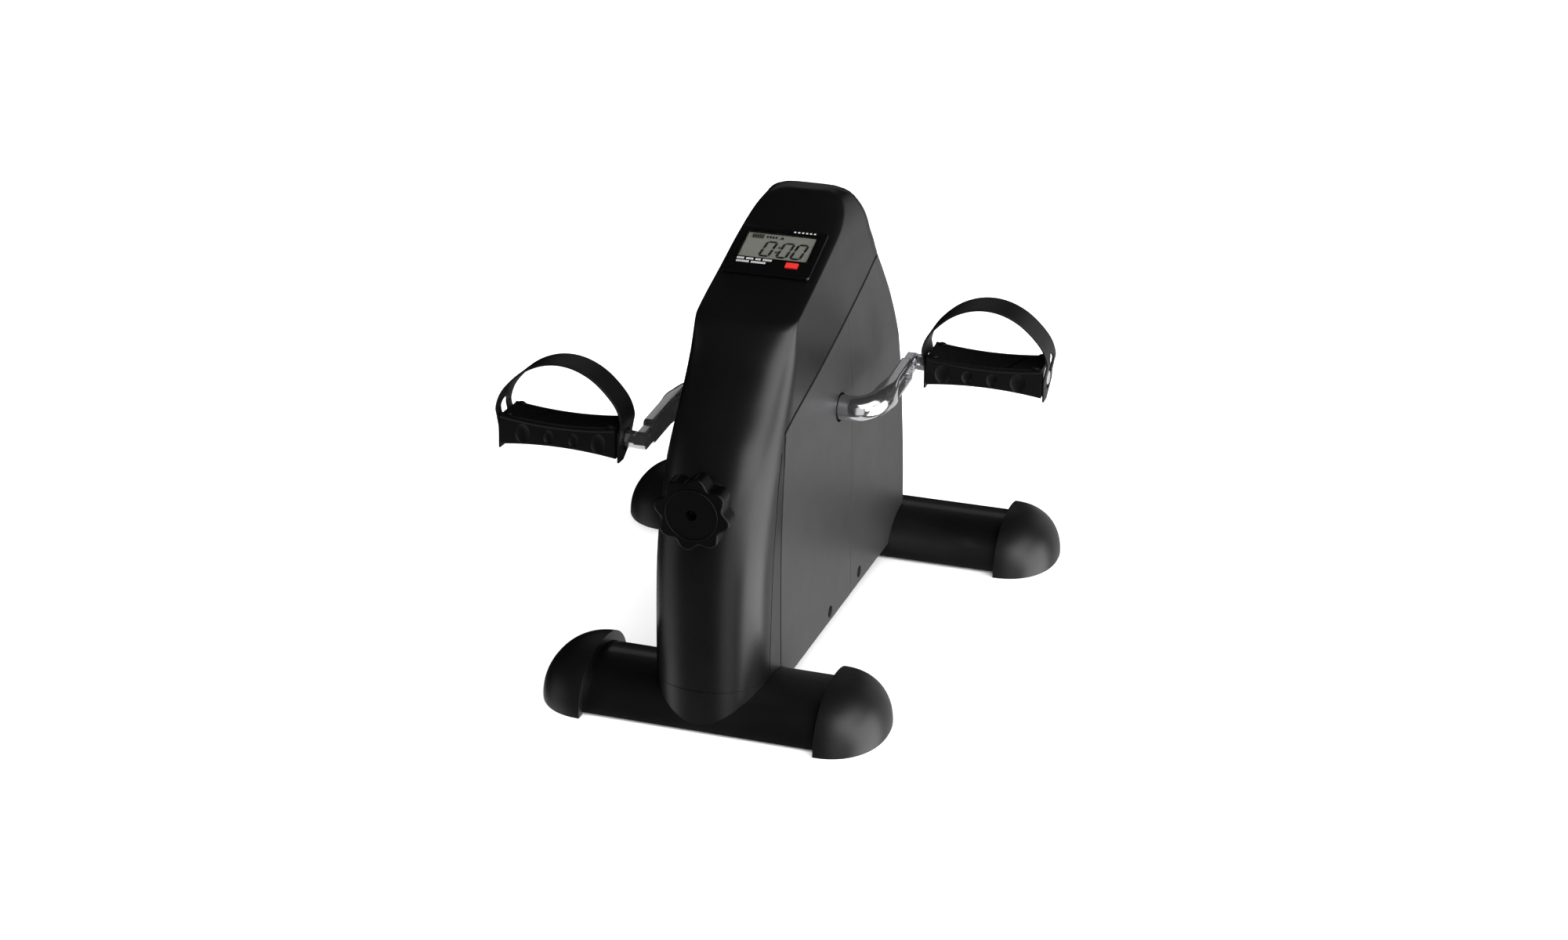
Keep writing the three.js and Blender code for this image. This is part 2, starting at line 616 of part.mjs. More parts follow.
function armRing(t) {
  const centre = ARM_PATH.getPointAt(t);
  const along = ARM_PATH.getTangentAt(t);
  const across = new THREE.Vector3(along.y, -along.x, 0);
  const flat = THREE.MathUtils.smoothstep(t, 0.3, 0.55);
  const power = 2 + 4 * flat;
  const tongue = THREE.MathUtils.smoothstep(t, 0.8, 0.86);
  const thickness = THREE.MathUtils.lerp(ARM_THICKNESS, TONGUE_THICKNESS, tongue);
  centre.addScaledVector(across, (thickness - ARM_THICKNESS) / 2);
  const halfAcross = THREE.MathUtils.lerp(ARM_TUBE_RADIUS, thickness / 2, flat);
  const barHeight = THREE.MathUtils.lerp(ARM_HEIGHT, TONGUE_HEIGHT, tongue);
  const halfUp = THREE.MathUtils.lerp(ARM_TUBE_RADIUS, barHeight / 2, flat);
  return circle(0, 0, 1, 16).map(([c, s]) => {
    const point = centre.clone().addScaledVector(across, halfAcross * powered(c, power));
    return point.addScaledVector(Z_AXIS, halfUp * powered(s, power));
  });
}

function crankArm() {
  const steps = 15;
  const rings = Array.from({ length: steps + 1 }, (_, i) => armRing(i / steps));
  const socket = rod('x', 0, 0, AXLE_RADIUS + GAP, 40, AXLE_HALF + 1, 20);
  const hollow = roundedRectangle(TROUGH.y, 0, TROUGH.length, TROUGH.height, TROUGH.height / 2, 4);
  const trough = prism(hollow, 'x', TROUGH.floorX, 90);
  const eye = rod('x', CRANK_RADIUS, 0, SPINDLE_RADIUS + GAP, 55, 90, 20);
  const beyondEye = box(55, 90, CRANK_RADIUS, CRANK_RADIUS + 20, -20, 20);
  const tip = cut(beyondEye, rod('x', CRANK_RADIUS, 0, TONGUE_HEIGHT / 2, 50, 95, 24));
  return cut(loft(rings), socket, trough, eye, tip);
}

function spindle() {
  const end = PEDAL_OUTER_X - 6;
  const r = SPINDLE_RADIUS;
  const shoulder = TONGUE_FACE_X + GAP;
  const collar = [[r, shoulder], [COLLAR_RADIUS, shoulder], [COLLAR_RADIUS, COLLAR_END], [r, COLLAR_END]];
  return turnedAlongX([[0, 67], [r, 67], ...collar, [r, end], [0, end]], 18);
}

function pedalBody() {
  const x0 = PEDAL_INNER_X;
  const x1 = PEDAL_OUTER_X;
  const steps = 8;
  const top = [];
  const bottom = [];
  for (let i = 0; i <= steps; i++) {
    const x = x0 + (PEDAL_LENGTH * i) / steps;
    const bow = 1 - (2 * (i / steps) - 1) ** 2;
    top.push([x, PEDAL_HALF_HEIGHT - 3.2 * bow]);
    bottom.push([x, -PEDAL_HALF_HEIGHT + 3 * bow]);
  }
  const block = prism([...bottom, ...top.reverse()], 'y', -PEDAL_HALF_DEPTH, PEDAL_HALF_DEPTH);
  const bore = rod('x', 0, 0, SPINDLE_RADIUS + GAP, x0 - 1, x1 - 4, 20);
  const well = rod('x', 0, 0, 8, x1 - 4.2, x1 + 1, 20);
  const scallops = [[12.5, 7.5], [31, 5.4], [49.5, 5.4], [69, 7.5]].flatMap(([offset, size]) => {
    return [-1, 1].map((face) => {
      const dent = new THREE.SphereGeometry(1, 8, 6).scale(size * 0.82, 2, size);
      return solid(dent.translate(x0 + offset, face * (PEDAL_HALF_DEPTH + 0.6), -0.8));
    });
  });
  return cut(block, bore, well, ...scallops);
}

function pedalEndCap() {
  const end = PEDAL_OUTER_X;
  const nose = [[5.1, end + 0.2], [5.1, end + 2.4], [0, end + 2.9]]; // shows in the strap's slot
  return turnedAlongX([[0, end - 4], [7.6, end - 4], [7.6, end - 0.3], ...nose], 20);
}

// The strap's middle line in (x, z): up from the crank end, over the foot, down the outer end.
function strapLine() {
  const inner = PEDAL_INNER_X - 1.6;
  const outer = PEDAL_OUTER_X + 1.6;
  const centre = (inner + outer) / 2;
  const leg = [[0, -14.5], [0, 0], [-1.2, 8], [-2, 16], [3, 28], [16, 41.5], [30, 49.2]];
  const rising = leg.map(([x, z]) => [inner + x, z]);
  const falling = leg.map(([x, z]) => [outer - x, z]).reverse();
  const path = [...rising, [centre, STRAP_TOP - STRAP_THICKNESS / 2], ...falling];
  return new THREE.CatmullRomCurve3(path.map(([x, z]) => new THREE.Vector3(x, 0, z)));
}

// sense is 1 where the strap's front edge, with its pointed tip, is its low Y edge.
function strap(sense) {
  const line = strapLine();
  const steps = 34;
  const rings = [];
  for (let i = 0; i <= steps; i++) {
    const centre = line.getPointAt(i / steps);
    const along = line.getTangentAt(i / steps);
    const out = new THREE.Vector3(-along.z, 0, along.x);
    const corners = [[1, 1], [1, -1], [-1, -1], [-1, 1]];
    rings.push(corners.map(([side, face]) => {
      const point = centre.clone().addScaledVector(Y_AXIS, (side * STRAP_WIDTH) / 2);
      return point.addScaledVector(out, (face * STRAP_THICKNESS) / 2);
    }));
  }
  const hole = rod('x', 0, 0, 8, 60, PEDAL_INNER_X + 10, 20);
  const opening = roundedRectangle(0, 5.5, 11, 27.5, 5.4, 4);
  const slot = prism(opening, 'x', PEDAL_OUTER_X - 5, PEDAL_OUTER_X + 30);
  const tip = [[-8 * sense, -17], [20 * sense, -17], [20 * sense, 0]];
  const slant = prism(tip, 'x', PEDAL_INNER_X - 10, PEDAL_OUTER_X + 10);
  return cut(loft(rings), hole, slot, slant);
}

function addCrankset(group) {
  const crank = new THREE.Group();
  crank.position.set(0, AXLE_Y, AXLE_Z);
  crank.rotation.x = CRANK_ANGLE;
  group.add(crank);
  addPiece(crank, 'crank_axle', 'steel', rod('x', 0, 0, AXLE_RADIUS, -AXLE_HALF, AXLE_HALF));
  addPiece(crank, 'brake_wheel', 'frame_black', brakeWheel());
  addPiece(crank, 'speed_magnet', 'magnet', speedMagnet());
  const tilts = { right: 0.02, left: -0.07 };
  for (const side of ['right', 'left']) {
    const half = new THREE.Group();
    half.rotation.z = side === 'left' ? Math.PI : 0;
    crank.add(half);
    addPiece(half, `crank_arm_${side}`, 'chrome', crankArm());
    const end = new THREE.Group();
    end.position.y = CRANK_RADIUS;
    half.add(end);
    addPiece(end, `pedal_spindle_${side}`, 'chrome', spindle());
    const level = new THREE.Group();
    const sense = side === 'left' ? -1 : 1;
    level.rotation.x = sense * (tilts[side] - CRANK_ANGLE);
    end.add(level);
    addPiece(level, `pedal_body_${side}`, 'pedal_black', pedalBody());
    addPiece(level, `pedal_end_cap_${side}`, 'cap_grey', pedalEndCap());
    addPiece(level, `pedal_strap_${side}`, 'strap_black', strap(sense));
  }
}

// ---------------------------------------------------------------- counter
function bezel() {
  const { width, length, rise } = DISPLAY;
  const plate = prism(roundedRectangle(0, 0, width, length, 2.5), 'z', -rise, 0);
  const walls = box(-27.5, 27.5, -21.5, 21.5, -14, -rise + 0.5);
  const inside = box(-26, 26, -20, 20, -15, -rise);
  const pane = roundedRectangle(WINDOW.x, WINDOW.v, WINDOW.width, WINDOW.height, 1.2, 2);
  const window = prism(pane, 'z', -rise - 1, 1);
  const key = roundedRectangle(BUTTON.x, BUTTON.v, BUTTON.width + 2 * GAP, BUTTON.height + 2 * GAP, 0.8, 2);
  return cut(join(plate, walls), inside, window, prism(key, 'z', -rise - 1, 1));
}

function addCounter(group) {
  const counter = new THREE.Group();
  counter.position.set(0, DISPLAY.y, DISPLAY.z);
  counter.rotation.x = DISPLAY.slope;
  group.add(counter);
  const { x, v, width, height } = WINDOW;
  const pane = (growth) => roundedRectangle(x, v, width + growth, height + growth, 1, 2);
  const key = roundedRectangle(BUTTON.x, BUTTON.v, BUTTON.width, BUTTON.height, 0.7, 2);
  addPiece(counter, 'display_bezel', 'bezel_black', bezel());
  addPiece(counter, 'display_lens', 'clear_lens', prism(pane(-2 * GAP), 'z', -0.8, -0.2));
  addPiece(counter, 'display_lcd', 'lcd_green', prism(pane(-2 * GAP), 'z', -4.8, -0.8 - GAP));
  addPiece(counter, 'display_board', 'board_green', box(-25.5, 25.5, -19.5, 19.5, -9.2, -7.6));
  addPiece(counter, 'display_battery', 'battery', rod('x', -2, -15, 5.2, -22, 22, 16));
  addPiece(counter, 'reset_button', 'button_red', prism(key, 'z', -6, 0.8));
}

// ---------------------------------------------------------------- assembly
const exerciser = new THREE.Group();
addFeet(exerciser);
addCasing(exerciser);
addInnerFrame(exerciser);
addBrake(exerciser);
addCrankset(exerciser);
addCounter(exerciser);

export default exerciser;
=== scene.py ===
"""Looks of the pedal exerciser: fine meshes, procedural materials, studio light and the camera.

Lengths in the shape functions are millimetres, and put() turns each finished mesh into metres.
"""
import json
import math

import bpy
import bmesh
from mathutils import Matrix, Vector


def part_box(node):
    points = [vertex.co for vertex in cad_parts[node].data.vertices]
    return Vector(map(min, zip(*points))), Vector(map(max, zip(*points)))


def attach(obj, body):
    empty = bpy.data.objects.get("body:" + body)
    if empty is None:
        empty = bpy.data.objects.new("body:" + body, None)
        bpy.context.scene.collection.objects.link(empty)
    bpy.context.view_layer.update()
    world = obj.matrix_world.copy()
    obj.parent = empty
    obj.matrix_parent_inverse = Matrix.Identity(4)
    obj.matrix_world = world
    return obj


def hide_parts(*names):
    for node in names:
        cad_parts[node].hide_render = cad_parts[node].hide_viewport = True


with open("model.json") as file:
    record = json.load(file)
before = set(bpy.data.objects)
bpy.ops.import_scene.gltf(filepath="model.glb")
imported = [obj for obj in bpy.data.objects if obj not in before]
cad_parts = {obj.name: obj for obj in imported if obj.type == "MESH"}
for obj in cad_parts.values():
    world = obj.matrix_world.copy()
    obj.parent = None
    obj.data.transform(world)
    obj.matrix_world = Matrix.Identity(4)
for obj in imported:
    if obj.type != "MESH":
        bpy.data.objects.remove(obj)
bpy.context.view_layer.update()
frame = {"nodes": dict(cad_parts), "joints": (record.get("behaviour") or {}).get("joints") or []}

MM = 0.001
JOINTS = {joint["name"]: joint for joint in frame["joints"]}


def node_box(node):
    """Lowest and highest corner of a CAD node, in millimetres."""
    low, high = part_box(node)
    return low / MM, high / MM


# ------------------------------------------------------------------ driving sizes
GAP = 0.3
AXLE = Vector(JOINTS["crank_spin"]["pos_m"]) / MM
CRANK_ARM = Vector(JOINTS["pedal_right_spin"]["pos_m"]) / MM - AXLE
CRANK_RADIUS = math.hypot(CRANK_ARM.y, CRANK_ARM.z)
CRANK_ANGLE = math.atan2(CRANK_ARM.z, CRANK_ARM.y)

FRONT_Y = sum(corner.y for corner in node_box("front_foot_bar")) / 2
REAR_Y = -FRONT_Y
FOOT_HALF_DEPTH = 40.6
FOOT_BASE = 2
FOOT_RISE = 29
FRONT_FOOT_HALF = 84.6
REAR_FOOT_HALF = 134.4
CAP_LENGTH = 40.5
CAP_HALF_DEPTH = 47
CAP_HEIGHT = 37.7
CAP_SOCKET = 14
CAP_POWER = 2.2

HUB_HOLE_RADIUS = 10.8
HUB_HALF_WIDTH = 45
WEDGE = 0.034
LEAN = 0.071
LEAN_START = 180
WALL = 3.3
PANEL_INSET = 0.3
BOOT_SEAM_Z = 33
PANEL_BASE_Z = 12
REAR_JOINT_Y = 21
CASING_SCREWS = [(-25, 19.5), (41, 21)]

KNOB_LOW, KNOB_HIGH = node_box("tension_knob")
KNOB_Z = 167.4
KNOB_RADIUS = 26.6
KNOB_LOBES = 8
SCREW_RADIUS = 3

DISPLAY = {"y": -18.3, "z": 291, "slope": 0.341, "width": 63.4, "length": 50.8, "rise": 2.5}
WINDOW = {"x": -0.2, "v": 5.4, "width": 50.4, "height": 27.6}
BUTTON = {"x": 16.2, "v": -13.8, "width": 9.2, "height": 5.4}


# ------------------------------------------------------------------ curves
def lerp(a, b, t):
    return a + (b - a) * t


def smoothstep(x, low, high):
    t = min(max((x - low) / (high - low), 0), 1)
    return t * t * (3 - 2 * t)


def powered(value, power):
    return math.copysign(abs(value) ** (2 / power), value)


def catmull(points, steps):
    """Points along a smooth curve through the given ones, steps to each span."""
    points = [Vector(p) for p in points]
    padded = [2 * points[0] - points[1], *points, 2 * points[-1] - points[-2]]
    result = []
    for i in range(len(points) - 1):
        a, b, c, d = padded[i:i + 4]
        for k in range(steps):
            t = k / steps
            result.append(0.5 * (2 * b + (c - a) * t + (2 * a - 5 * b + 4 * c - d) * t ** 2
                                 + (3 * b - a - 3 * c + d) * t ** 3))
    return result + [points[-1]]


def even(points, count):
    """The same line cut into count equal steps."""
    lengths = [0.0]
    for a, b in zip(points, points[1:]):
        lengths.append(lengths[-1] + (b - a).length)
    result, i = [], 0
    for k in range(count + 1):
        goal = lengths[-1] * k / count
        while i < len(points) - 2 and lengths[i + 1] < goal:
            i += 1
        span = lengths[i + 1] - lengths[i]
        result.append(points[i].lerp(points[i + 1], (goal - lengths[i]) / span if span else 0))
    return result


def circle(u, v, radius, steps):
    angles = [2 * math.pi * i / steps for i in range(steps)]
    return [(u + radius * math.cos(a), v + radius * math.sin(a)) for a in angles]


def rounded(u, v, width, height, radius, steps=6):
    """A rounded rectangle's outline."""
    points = []
    for quarter, (su, sv) in enumerate([(1, 1), (-1, 1), (-1, -1), (1, -1)]):
        for i in range(steps + 1):
            angle = math.pi / 2 * (quarter + i / steps)
            points.append((u + su * (width / 2 - radius) + radius * math.cos(angle),
                           v + sv * (height / 2 - radius) + radius * math.sin(angle)))
    return points


# ------------------------------------------------------------------ solids
def mesh(vertices, faces):
    data = bpy.data.meshes.new("solid")
    data.from_pydata([tuple(v) for v in vertices], [], faces)
    bm = bmesh.new()
    bm.from_mesh(data)
    bmesh.ops.remove_doubles(bm, verts=bm.verts, dist=1e-4)
    bmesh.ops.recalc_face_normals(bm, faces=bm.faces)
    bm.to_mesh(data)
    bm.free()
    piece = bpy.data.objects.new("solid", data)
    bpy.context.scene.collection.objects.link(piece)
    return piece


def loft(rings):
    """A closed skin through rings of equally many points."""
    count = len(rings[0])
    faces = []
    for r in range(len(rings) - 1):
        for i in range(count):
            j = (i + 1) % count
            faces.append((r * count + i, r * count + j, (r + 1) * count + j, (r + 1) * count + i))
    faces.append(tuple(range(count)))
    last = (len(rings) - 1) * count
    faces.append(tuple(range(last + count - 1, last - 1, -1)))
    return mesh([p for ring in rings for p in ring], faces)


AXES = {"x": lambda u, v, w: (w, u, v), "y": lambda u, v, w: (u, w, v), "z": lambda u, v, w: (u, v, w)}


def prism(outline, axis, low, high):
    """An outline pushed along an axis: x reads it as (y, z), y as (x, z) and z as (x, y)."""
    place = AXES[axis]
    return loft([[Vector(place(u, v, w)) for u, v in outline] for w in (low, high)])


def rod(axis, u, v, radius, low, high, steps=48):
    return prism(circle(u, v, radius, steps), axis, low, high)


def block(x0, x1, y0, y1, z0, z1):
    return prism([(x0, y0), (x1, y0), (x1, y1), (x0, y1)], "z", z0, z1)


def turned(profile, steps=64):
    """A solid of revolution about X from (radius, x) pairs, closed on itself or on the axis."""
    count = len(profile)
    vertices, faces = [], []
    for i in range(steps):
        angle = 2 * math.pi * i / steps
        vertices += [Vector((x, r * math.cos(angle), r * math.sin(angle))) for r, x in profile]
    for i in range(steps):
        a, b = i * count, ((i + 1) % steps) * count
        for k in range(count):
            n = (k + 1) % count
            faces.append((a + k, a + n, b + n, b + k))
    return mesh(vertices, faces)


def apply(piece):
    """Bakes the modifiers of a piece into its mesh."""
    graph = bpy.context.evaluated_depsgraph_get()
    data = bpy.data.meshes.new_from_object(piece.evaluated_get(graph))
    piece.modifiers.clear()
    piece.data = data
    return piece


def combine(piece, operation, *tools):
    for tool in tools:
        modifier = piece.modifiers.new("boolean", "BOOLEAN")
        modifier.operation = operation
        modifier.solver = "MANIFOLD"
        modifier.object = tool
        apply(piece)
        bpy.data.objects.remove(tool)
    return piece


def cut(piece, *tools):
    return combine(piece, "DIFFERENCE", *tools)


def join(piece, *others):
    return combine(piece, "UNION", *others)


def meet(piece, *others):
    return combine(piece, "INTERSECT", *others)


def copy(piece):
    twin = bpy.data.objects.new("solid", piece.data.copy())
    bpy.context.scene.collection.objects.link(twin)
    return twin


def soften(piece, width, segments=2, angle=35):
    """Rounds the sharp edges of a piece."""
    bm = bmesh.new()
    bm.from_mesh(piece.data)
    bmesh.ops.remove_doubles(bm, verts=bm.verts, dist=width * 0.15)
    bmesh.ops.dissolve_degenerate(bm, edges=bm.edges, dist=width * 0.15)
    bm.to_mesh(piece.data)
    bm.free()
    bevel = piece.modifiers.new("bevel", "BEVEL")
    bevel.width = width
    bevel.segments = segments
    bevel.limit_method = "ANGLE"
    bevel.angle_limit = math.radians(angle)
    bevel.use_clamp_overlap = True
    bevel.miter_outer = "MITER_ARC"
    return apply(piece)


def turn(piece, matrix):
    piece.data.transform(matrix)
    if matrix.determinant() < 0:
        piece.data.flip_normals()
    return piece


def put(piece, name, body, material, replaces=(), sharp=32, place=None):
    """Names a finished solid, brings it to metres and hangs it on its body."""
    if place is not None:
        turn(piece, place)
    piece.data.transform(Matrix.Scale(MM, 4))
    piece.name = piece.data.name = name
    for polygon in piece.data.polygons:
        polygon.use_smooth = True
    bm = bmesh.new()
    bm.from_mesh(piece.data)
    for edge in bm.edges:
        edge.smooth = edge.calc_face_angle(0) < math.radians(sharp)
    bm.to_mesh(piece.data)
    bm.free()
    piece.data.materials.clear()
    piece.data.materials.append(material)
    weighted = piece.modifiers.new("weighted", "WEIGHTED_NORMAL")
    weighted.keep_sharp = True
    weighted.weight = 60
    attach(piece, body)
    if replaces:
        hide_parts(*replaces)
    return piece


# ------------------------------------------------------------------ materials
def shader(name, color, roughness, metallic=0.0, specular=0.5, **sockets):
    material = bpy.data.materials.new(name)
    material.use_nodes = True
    node = material.node_tree.nodes["Principled BSDF"]
    node.inputs["Base Color"].default_value = (*color, 1)
    node.inputs["Roughness"].default_value = roughness
    node.inputs["Metallic"].default_value = metallic
    node.inputs["Specular IOR Level"].default_value = specular
    for socket, value in sockets.items():
        node.inputs[socket.replace("_", " ")].default_value = value
    return material


def texture(material, kind, scale, stretch=(1, 1, 1), **values):
    """A procedural texture in the object's own metres."""
    nodes, links = material.node_tree.nodes, material.node_tree.links
    where = nodes.new("ShaderNodeTexCoord")
    mapping = nodes.new("ShaderNodeMapping")
    mapping.inputs["Scale"].default_value = stretch
    pattern = nodes.new(kind)
    pattern.inputs["Scale"].default_value = scale
    for socket, value in values.items():
        pattern.inputs[socket].default_value = value
    links.new(where.outputs["Object"], mapping.inputs["Vector"])
    links.new(mapping.outputs["Vector"], pattern.inputs["Vector"])
    return pattern


def vary(material, socket, pattern_output, low, high):
    """Lets a pattern move a socket between two values."""
    nodes, links = material.node_tree.nodes, material.node_tree.links
    target = nodes["Principled BSDF"].inputs[socket]
    if isinstance(low, tuple):
        ramp = nodes.new("ShaderNodeValToRGB")
        ramp.color_ramp.elements[0].position = 0.3
        ramp.color_ramp.elements[1].position = 0.7
        ramp.color_ramp.elements[0].color = (*low, 1)
        ramp.color_ramp.elements[1].color = (*high, 1)
        links.new(pattern_output, ramp.inputs["Fac"])
        links.new(ramp.outputs["Color"], target)
        return
    spread = nodes.new("ShaderNodeMapRange")
    spread.inputs["From Min"].default_value = 0.3
    spread.inputs["From Max"].default_value = 0.7
    spread.inputs["To Min"].default_value = low
    spread.inputs["To Max"].default_value = high
    links.new(pattern_output, spread.inputs["Value"])
    links.new(spread.outputs["Result"], target)


def bump(material, pattern_output, strength, distance):
    nodes, links = material.node_tree.nodes, material.node_tree.links
    relief = nodes.new("ShaderNodeBump")
    relief.inputs["Strength"].default_value = strength
    relief.inputs["Distance"].default_value = distance
    links.new(pattern_output, relief.inputs["Height"])
    links.new(relief.outputs["Normal"], nodes["Principled BSDF"].inputs["Normal"])


def moulded(name, color, roughness, grain=1500, relief=0.12, spread=0.03, specular=0.5):
    """Moulded plastic: fine spark-eroded grain, and slow changes of gloss and tone."""
    material = shader(name, color, roughness, specular=specular)
    cloud = texture(material, "ShaderNodeTexNoise", 22, Detail=3.0, Roughness=0.6)
    vary(material, "Roughness", cloud.outputs["Fac"], roughness - spread, roughness + spread)
    tone = texture(material, "ShaderNodeTexNoise", 60, Detail=4.0, Roughness=0.7)
    darker = tuple(c * 0.96 for c in color)
    lighter = tuple(c * 1.04 for c in color)
    vary(material, "Base Color", tone.outputs["Fac"], darker, lighter)
    fine = texture(material, "ShaderNodeTexNoise", grain, Detail=2.0, Roughness=0.5)
    bump(material, fine.outputs["Fac"], relief, 0.0002)
    return material


def chromed(name, color, roughness):
    """Chrome plate: near-mirror, with faint polishing lines and soft waviness."""
    material = shader(name, color, roughness, metallic=0.97)
    lines = texture(material, "ShaderNodeTexNoise", 900, stretch=(1, 0.06, 1), Detail=2.0)
    vary(material, "Roughness", lines.outputs["Fac"], roughness * 0.7, roughness * 1.5)
    wave = texture(material, "ShaderNodeTexNoise", 45, Detail=1.0)
    bump(material, wave.outputs["Fac"], 0.05, 0.0006)
    return material


def machined(name, color, roughness):
    """Turned or rolled steel."""
    material = shader(name, color, roughness, metallic=1.0)
    lines = texture(material, "ShaderNodeTexNoise", 700, stretch=(0.05, 1, 1), Detail=3.0)
    vary(material, "Roughness", lines.outputs["Fac"], roughness * 0.75, roughness * 1.3)
    bump(material, lines.outputs["Fac"], 0.08, 0.0002)
    return material


def coated(name, color, roughness):
    """Powder coat: gloss with fine orange peel."""
    material = shader(name, color, roughness, Coat_Weight=0.35, Coat_Roughness=0.12)
    peel = texture(material, "ShaderNodeTexNoise", 320, Detail=2.0, Roughness=0.5)
    bump(material, peel.outputs["Fac"], 0.10, 0.0003)
    cloud = texture(material, "ShaderNodeTexNoise", 18, Detail=2.0)
    vary(material, "Roughness", cloud.outputs["Fac"], roughness - 0.05, roughness + 0.06)
    return material


SATIN_BLACK = moulded("satin_black", (0.0020, 0.0020, 0.0023), 0.36)
PANEL_GREY = moulded("panel_grey", (0.017, 0.0165, 0.0175), 0.45)
FOOT_BLACK = coated("foot_black", (0.0012, 0.0012, 0.0014), 0.42)
CAP_BLACK = moulded("cap_black", (0.0022, 0.0022, 0.0025), 0.42)
CHROME = chromed("chrome", (0.62, 0.62, 0.64), 0.13)
STEEL = machined("steel", (0.42, 0.42, 0.43), 0.34)
# Steel darkened so that the tension screw's end, deep in the knob's hole, reads dark: painted shade in the
# hole, not the steel's own colour.
PAINTED_SHADE_STEEL = machined("painted_shade_steel", (0.05, 0.05, 0.052), 0.4)
# The frame's black powder coat. The casing screws wear it too, so that their deep holes read dark: painted
# shade in the holes.
FRAME_BLACK_AND_HOLE_SHADE = coated("frame_black", (0.008, 0.008, 0.008), 0.5)
KNOB_BLACK = moulded("knob_black", (0.0008, 0.0008, 0.0009), 0.40, specular=0.2)
PEDAL_BLACK = moulded("pedal_black", (0.0012, 0.0012, 0.0014), 0.48, relief=0.2, specular=0.22)
STRAP_BLACK = moulded("strap_black", (0.0030, 0.0030, 0.0033), 0.46, relief=0.2, specular=0.35)
CAP_GREY = moulded("cap_grey", (0.21, 0.21, 0.22), 0.45)
BEZEL_BLACK = moulded("bezel_black", (0.0015, 0.0015, 0.0018), 0.28, relief=0.05)
KEY_RED = moulded("key_red", (0.46, 0.006, 0.005), 0.4, relief=0.05)
LCD_GREEN = moulded("lcd_green", (0.135, 0.137, 0.118), 0.5, grain=400, relief=0.0, specular=0.2)
LCD_INK = moulded("lcd_ink", (0.003, 0.003, 0.003), 0.5, specular=0.2)
CLEAR_LENS = shader("clear_lens", (0.02, 0.02, 0.02), 0.06, Alpha=0.12)
PRINT_WHITE = moulded("print_white", (0.36, 0.36, 0.36), 0.6)
FELT = moulded("felt", (0.05, 0.045, 0.04), 0.9, grain=3000, relief=0.6, specular=0.1)
BOARD_GREEN = moulded("board_green", (0.01, 0.08, 0.03), 0.5, grain=600)
BATTERY = machined("battery", (0.45, 0.33, 0.12), 0.3)


# ------------------------------------------------------------------ feet
def foot_outline(centre_y, growth=0.0, steps=48):
    points = []
    for i in range(steps + 1):
        angle = math.pi * i / steps
        points.append((centre_y + (FOOT_HALF_DEPTH + growth) * math.cos(angle),
                       FOOT_BASE - max(growth, 0) + (FOOT_RISE + 2 * growth) * math.sin(angle)))
    return points


def foot_bar(centre_y, half_shown):
    half = half_shown + CAP_SOCKET - 1
    tube = prism(foot_outline(centre_y), "x", -half, half)
    hollow = [(y, z + 2) for y, z in foot_outline(centre_y, -2.0)]
    return cut(tube, prism(hollow, "x", -half - 1, half + 1))


def foot_cap(centre_y, half_shown, side):
    layers, steps = 30, 56
    rings = []
    for layer in range(layers):
        lift = math.pi / 2 * layer / layers
        shrink = powered(math.cos(lift), CAP_POWER)
        x = side * (half_shown + CAP_LENGTH * powered(math.sin(lift), CAP_POWER))
        ring = []
        for i in range(steps + 1):
            angle = math.pi * i / steps
            ring.append(Vector((x, centre_y + CAP_HALF_DEPTH * shrink * powered(math.cos(angle), CAP_POWER),
                                CAP_HEIGHT * shrink * powered(math.sin(angle), CAP_POWER))))
        rings.append(ring)
    ends = sorted((side * (half_shown - 1), side * (half_shown + CAP_SOCKET)))
    cap = cut(loft(rings), prism(foot_outline(centre_y, GAP), "x", *ends))
    return soften(cap, 0.9, 3, 50)


def add_feet():
    for end, centre_y, half in (("front", FRONT_Y, FRONT_FOOT_HALF), ("rear", REAR_Y, REAR_FOOT_HALF)):
        node = f"{end}_foot_bar"
        put(foot_bar(centre_y, half), f"{end}_foot_tube", "frame", FOOT_BLACK, [node])
        for side, sign in (("right", 1), ("left", -1)):
            node = f"{end}_foot_cap_{side}"
            put(foot_cap(centre_y, half, sign), f"{end}_end_cap_{side}", "frame", CAP_BLACK,
                [node])


# ------------------------------------------------------------------ casing
# Plan sections from the floor up: height, front tip, depth of the rounded nose, rear face,
# rear corner radius, and how much narrower the crown has become.
CASING_LEVELS = [
    (3, -190, 45, 153, 7, 0),
    (45, -189.5, 45, 153, 7, 0),
    (80, -188, 45, 151, 7, 0),
    (112, -185, 45, 148, 8, 0),
    (140, -178.5, 45, 144.5, 8, 0),
    (167, -167, 45, 139.5, 9, 0),
    (193, -151, 43, 133, 10, 0),
    (220, -126, 35, 123, 12, 0),
    (240, -108, 25, 112.5, 14, 0),
    (256, -96, 15, 101, 13, 0),
    (264, -89, 10, 95.5, 12, 0),
    (268, -78, 9, 93, 11, 0),
    (280, -42, 13, 85.5, 9, 0.5),
    (290, -14, 17, 81, 8, 1),
    (297, 5.6, 20, 77.5, 8, 2),
    (304, 22, 19, 74, 8, 4.5),
    (310, 35, 14, 71, 7, 9),
    (314, 43, 9, 67, 8, 15.5),
    (316, 49, 5, 62, 9, 25),
]
NOSE_POWER = 2.5
CROWN_START = 262
PANEL_FRONT_Y = -131
SEAM = [
    (PANEL_FRONT_Y, 45), (-131, 80), (-130, 122), (-125.5, 168), (-122.5, 185),
    (-118.5, 196), (-110, 203), (-48, 217.5), (10, 233), (60, 248), (98, 261), (140, 274),
]
SEAM_GROOVE = 2.4
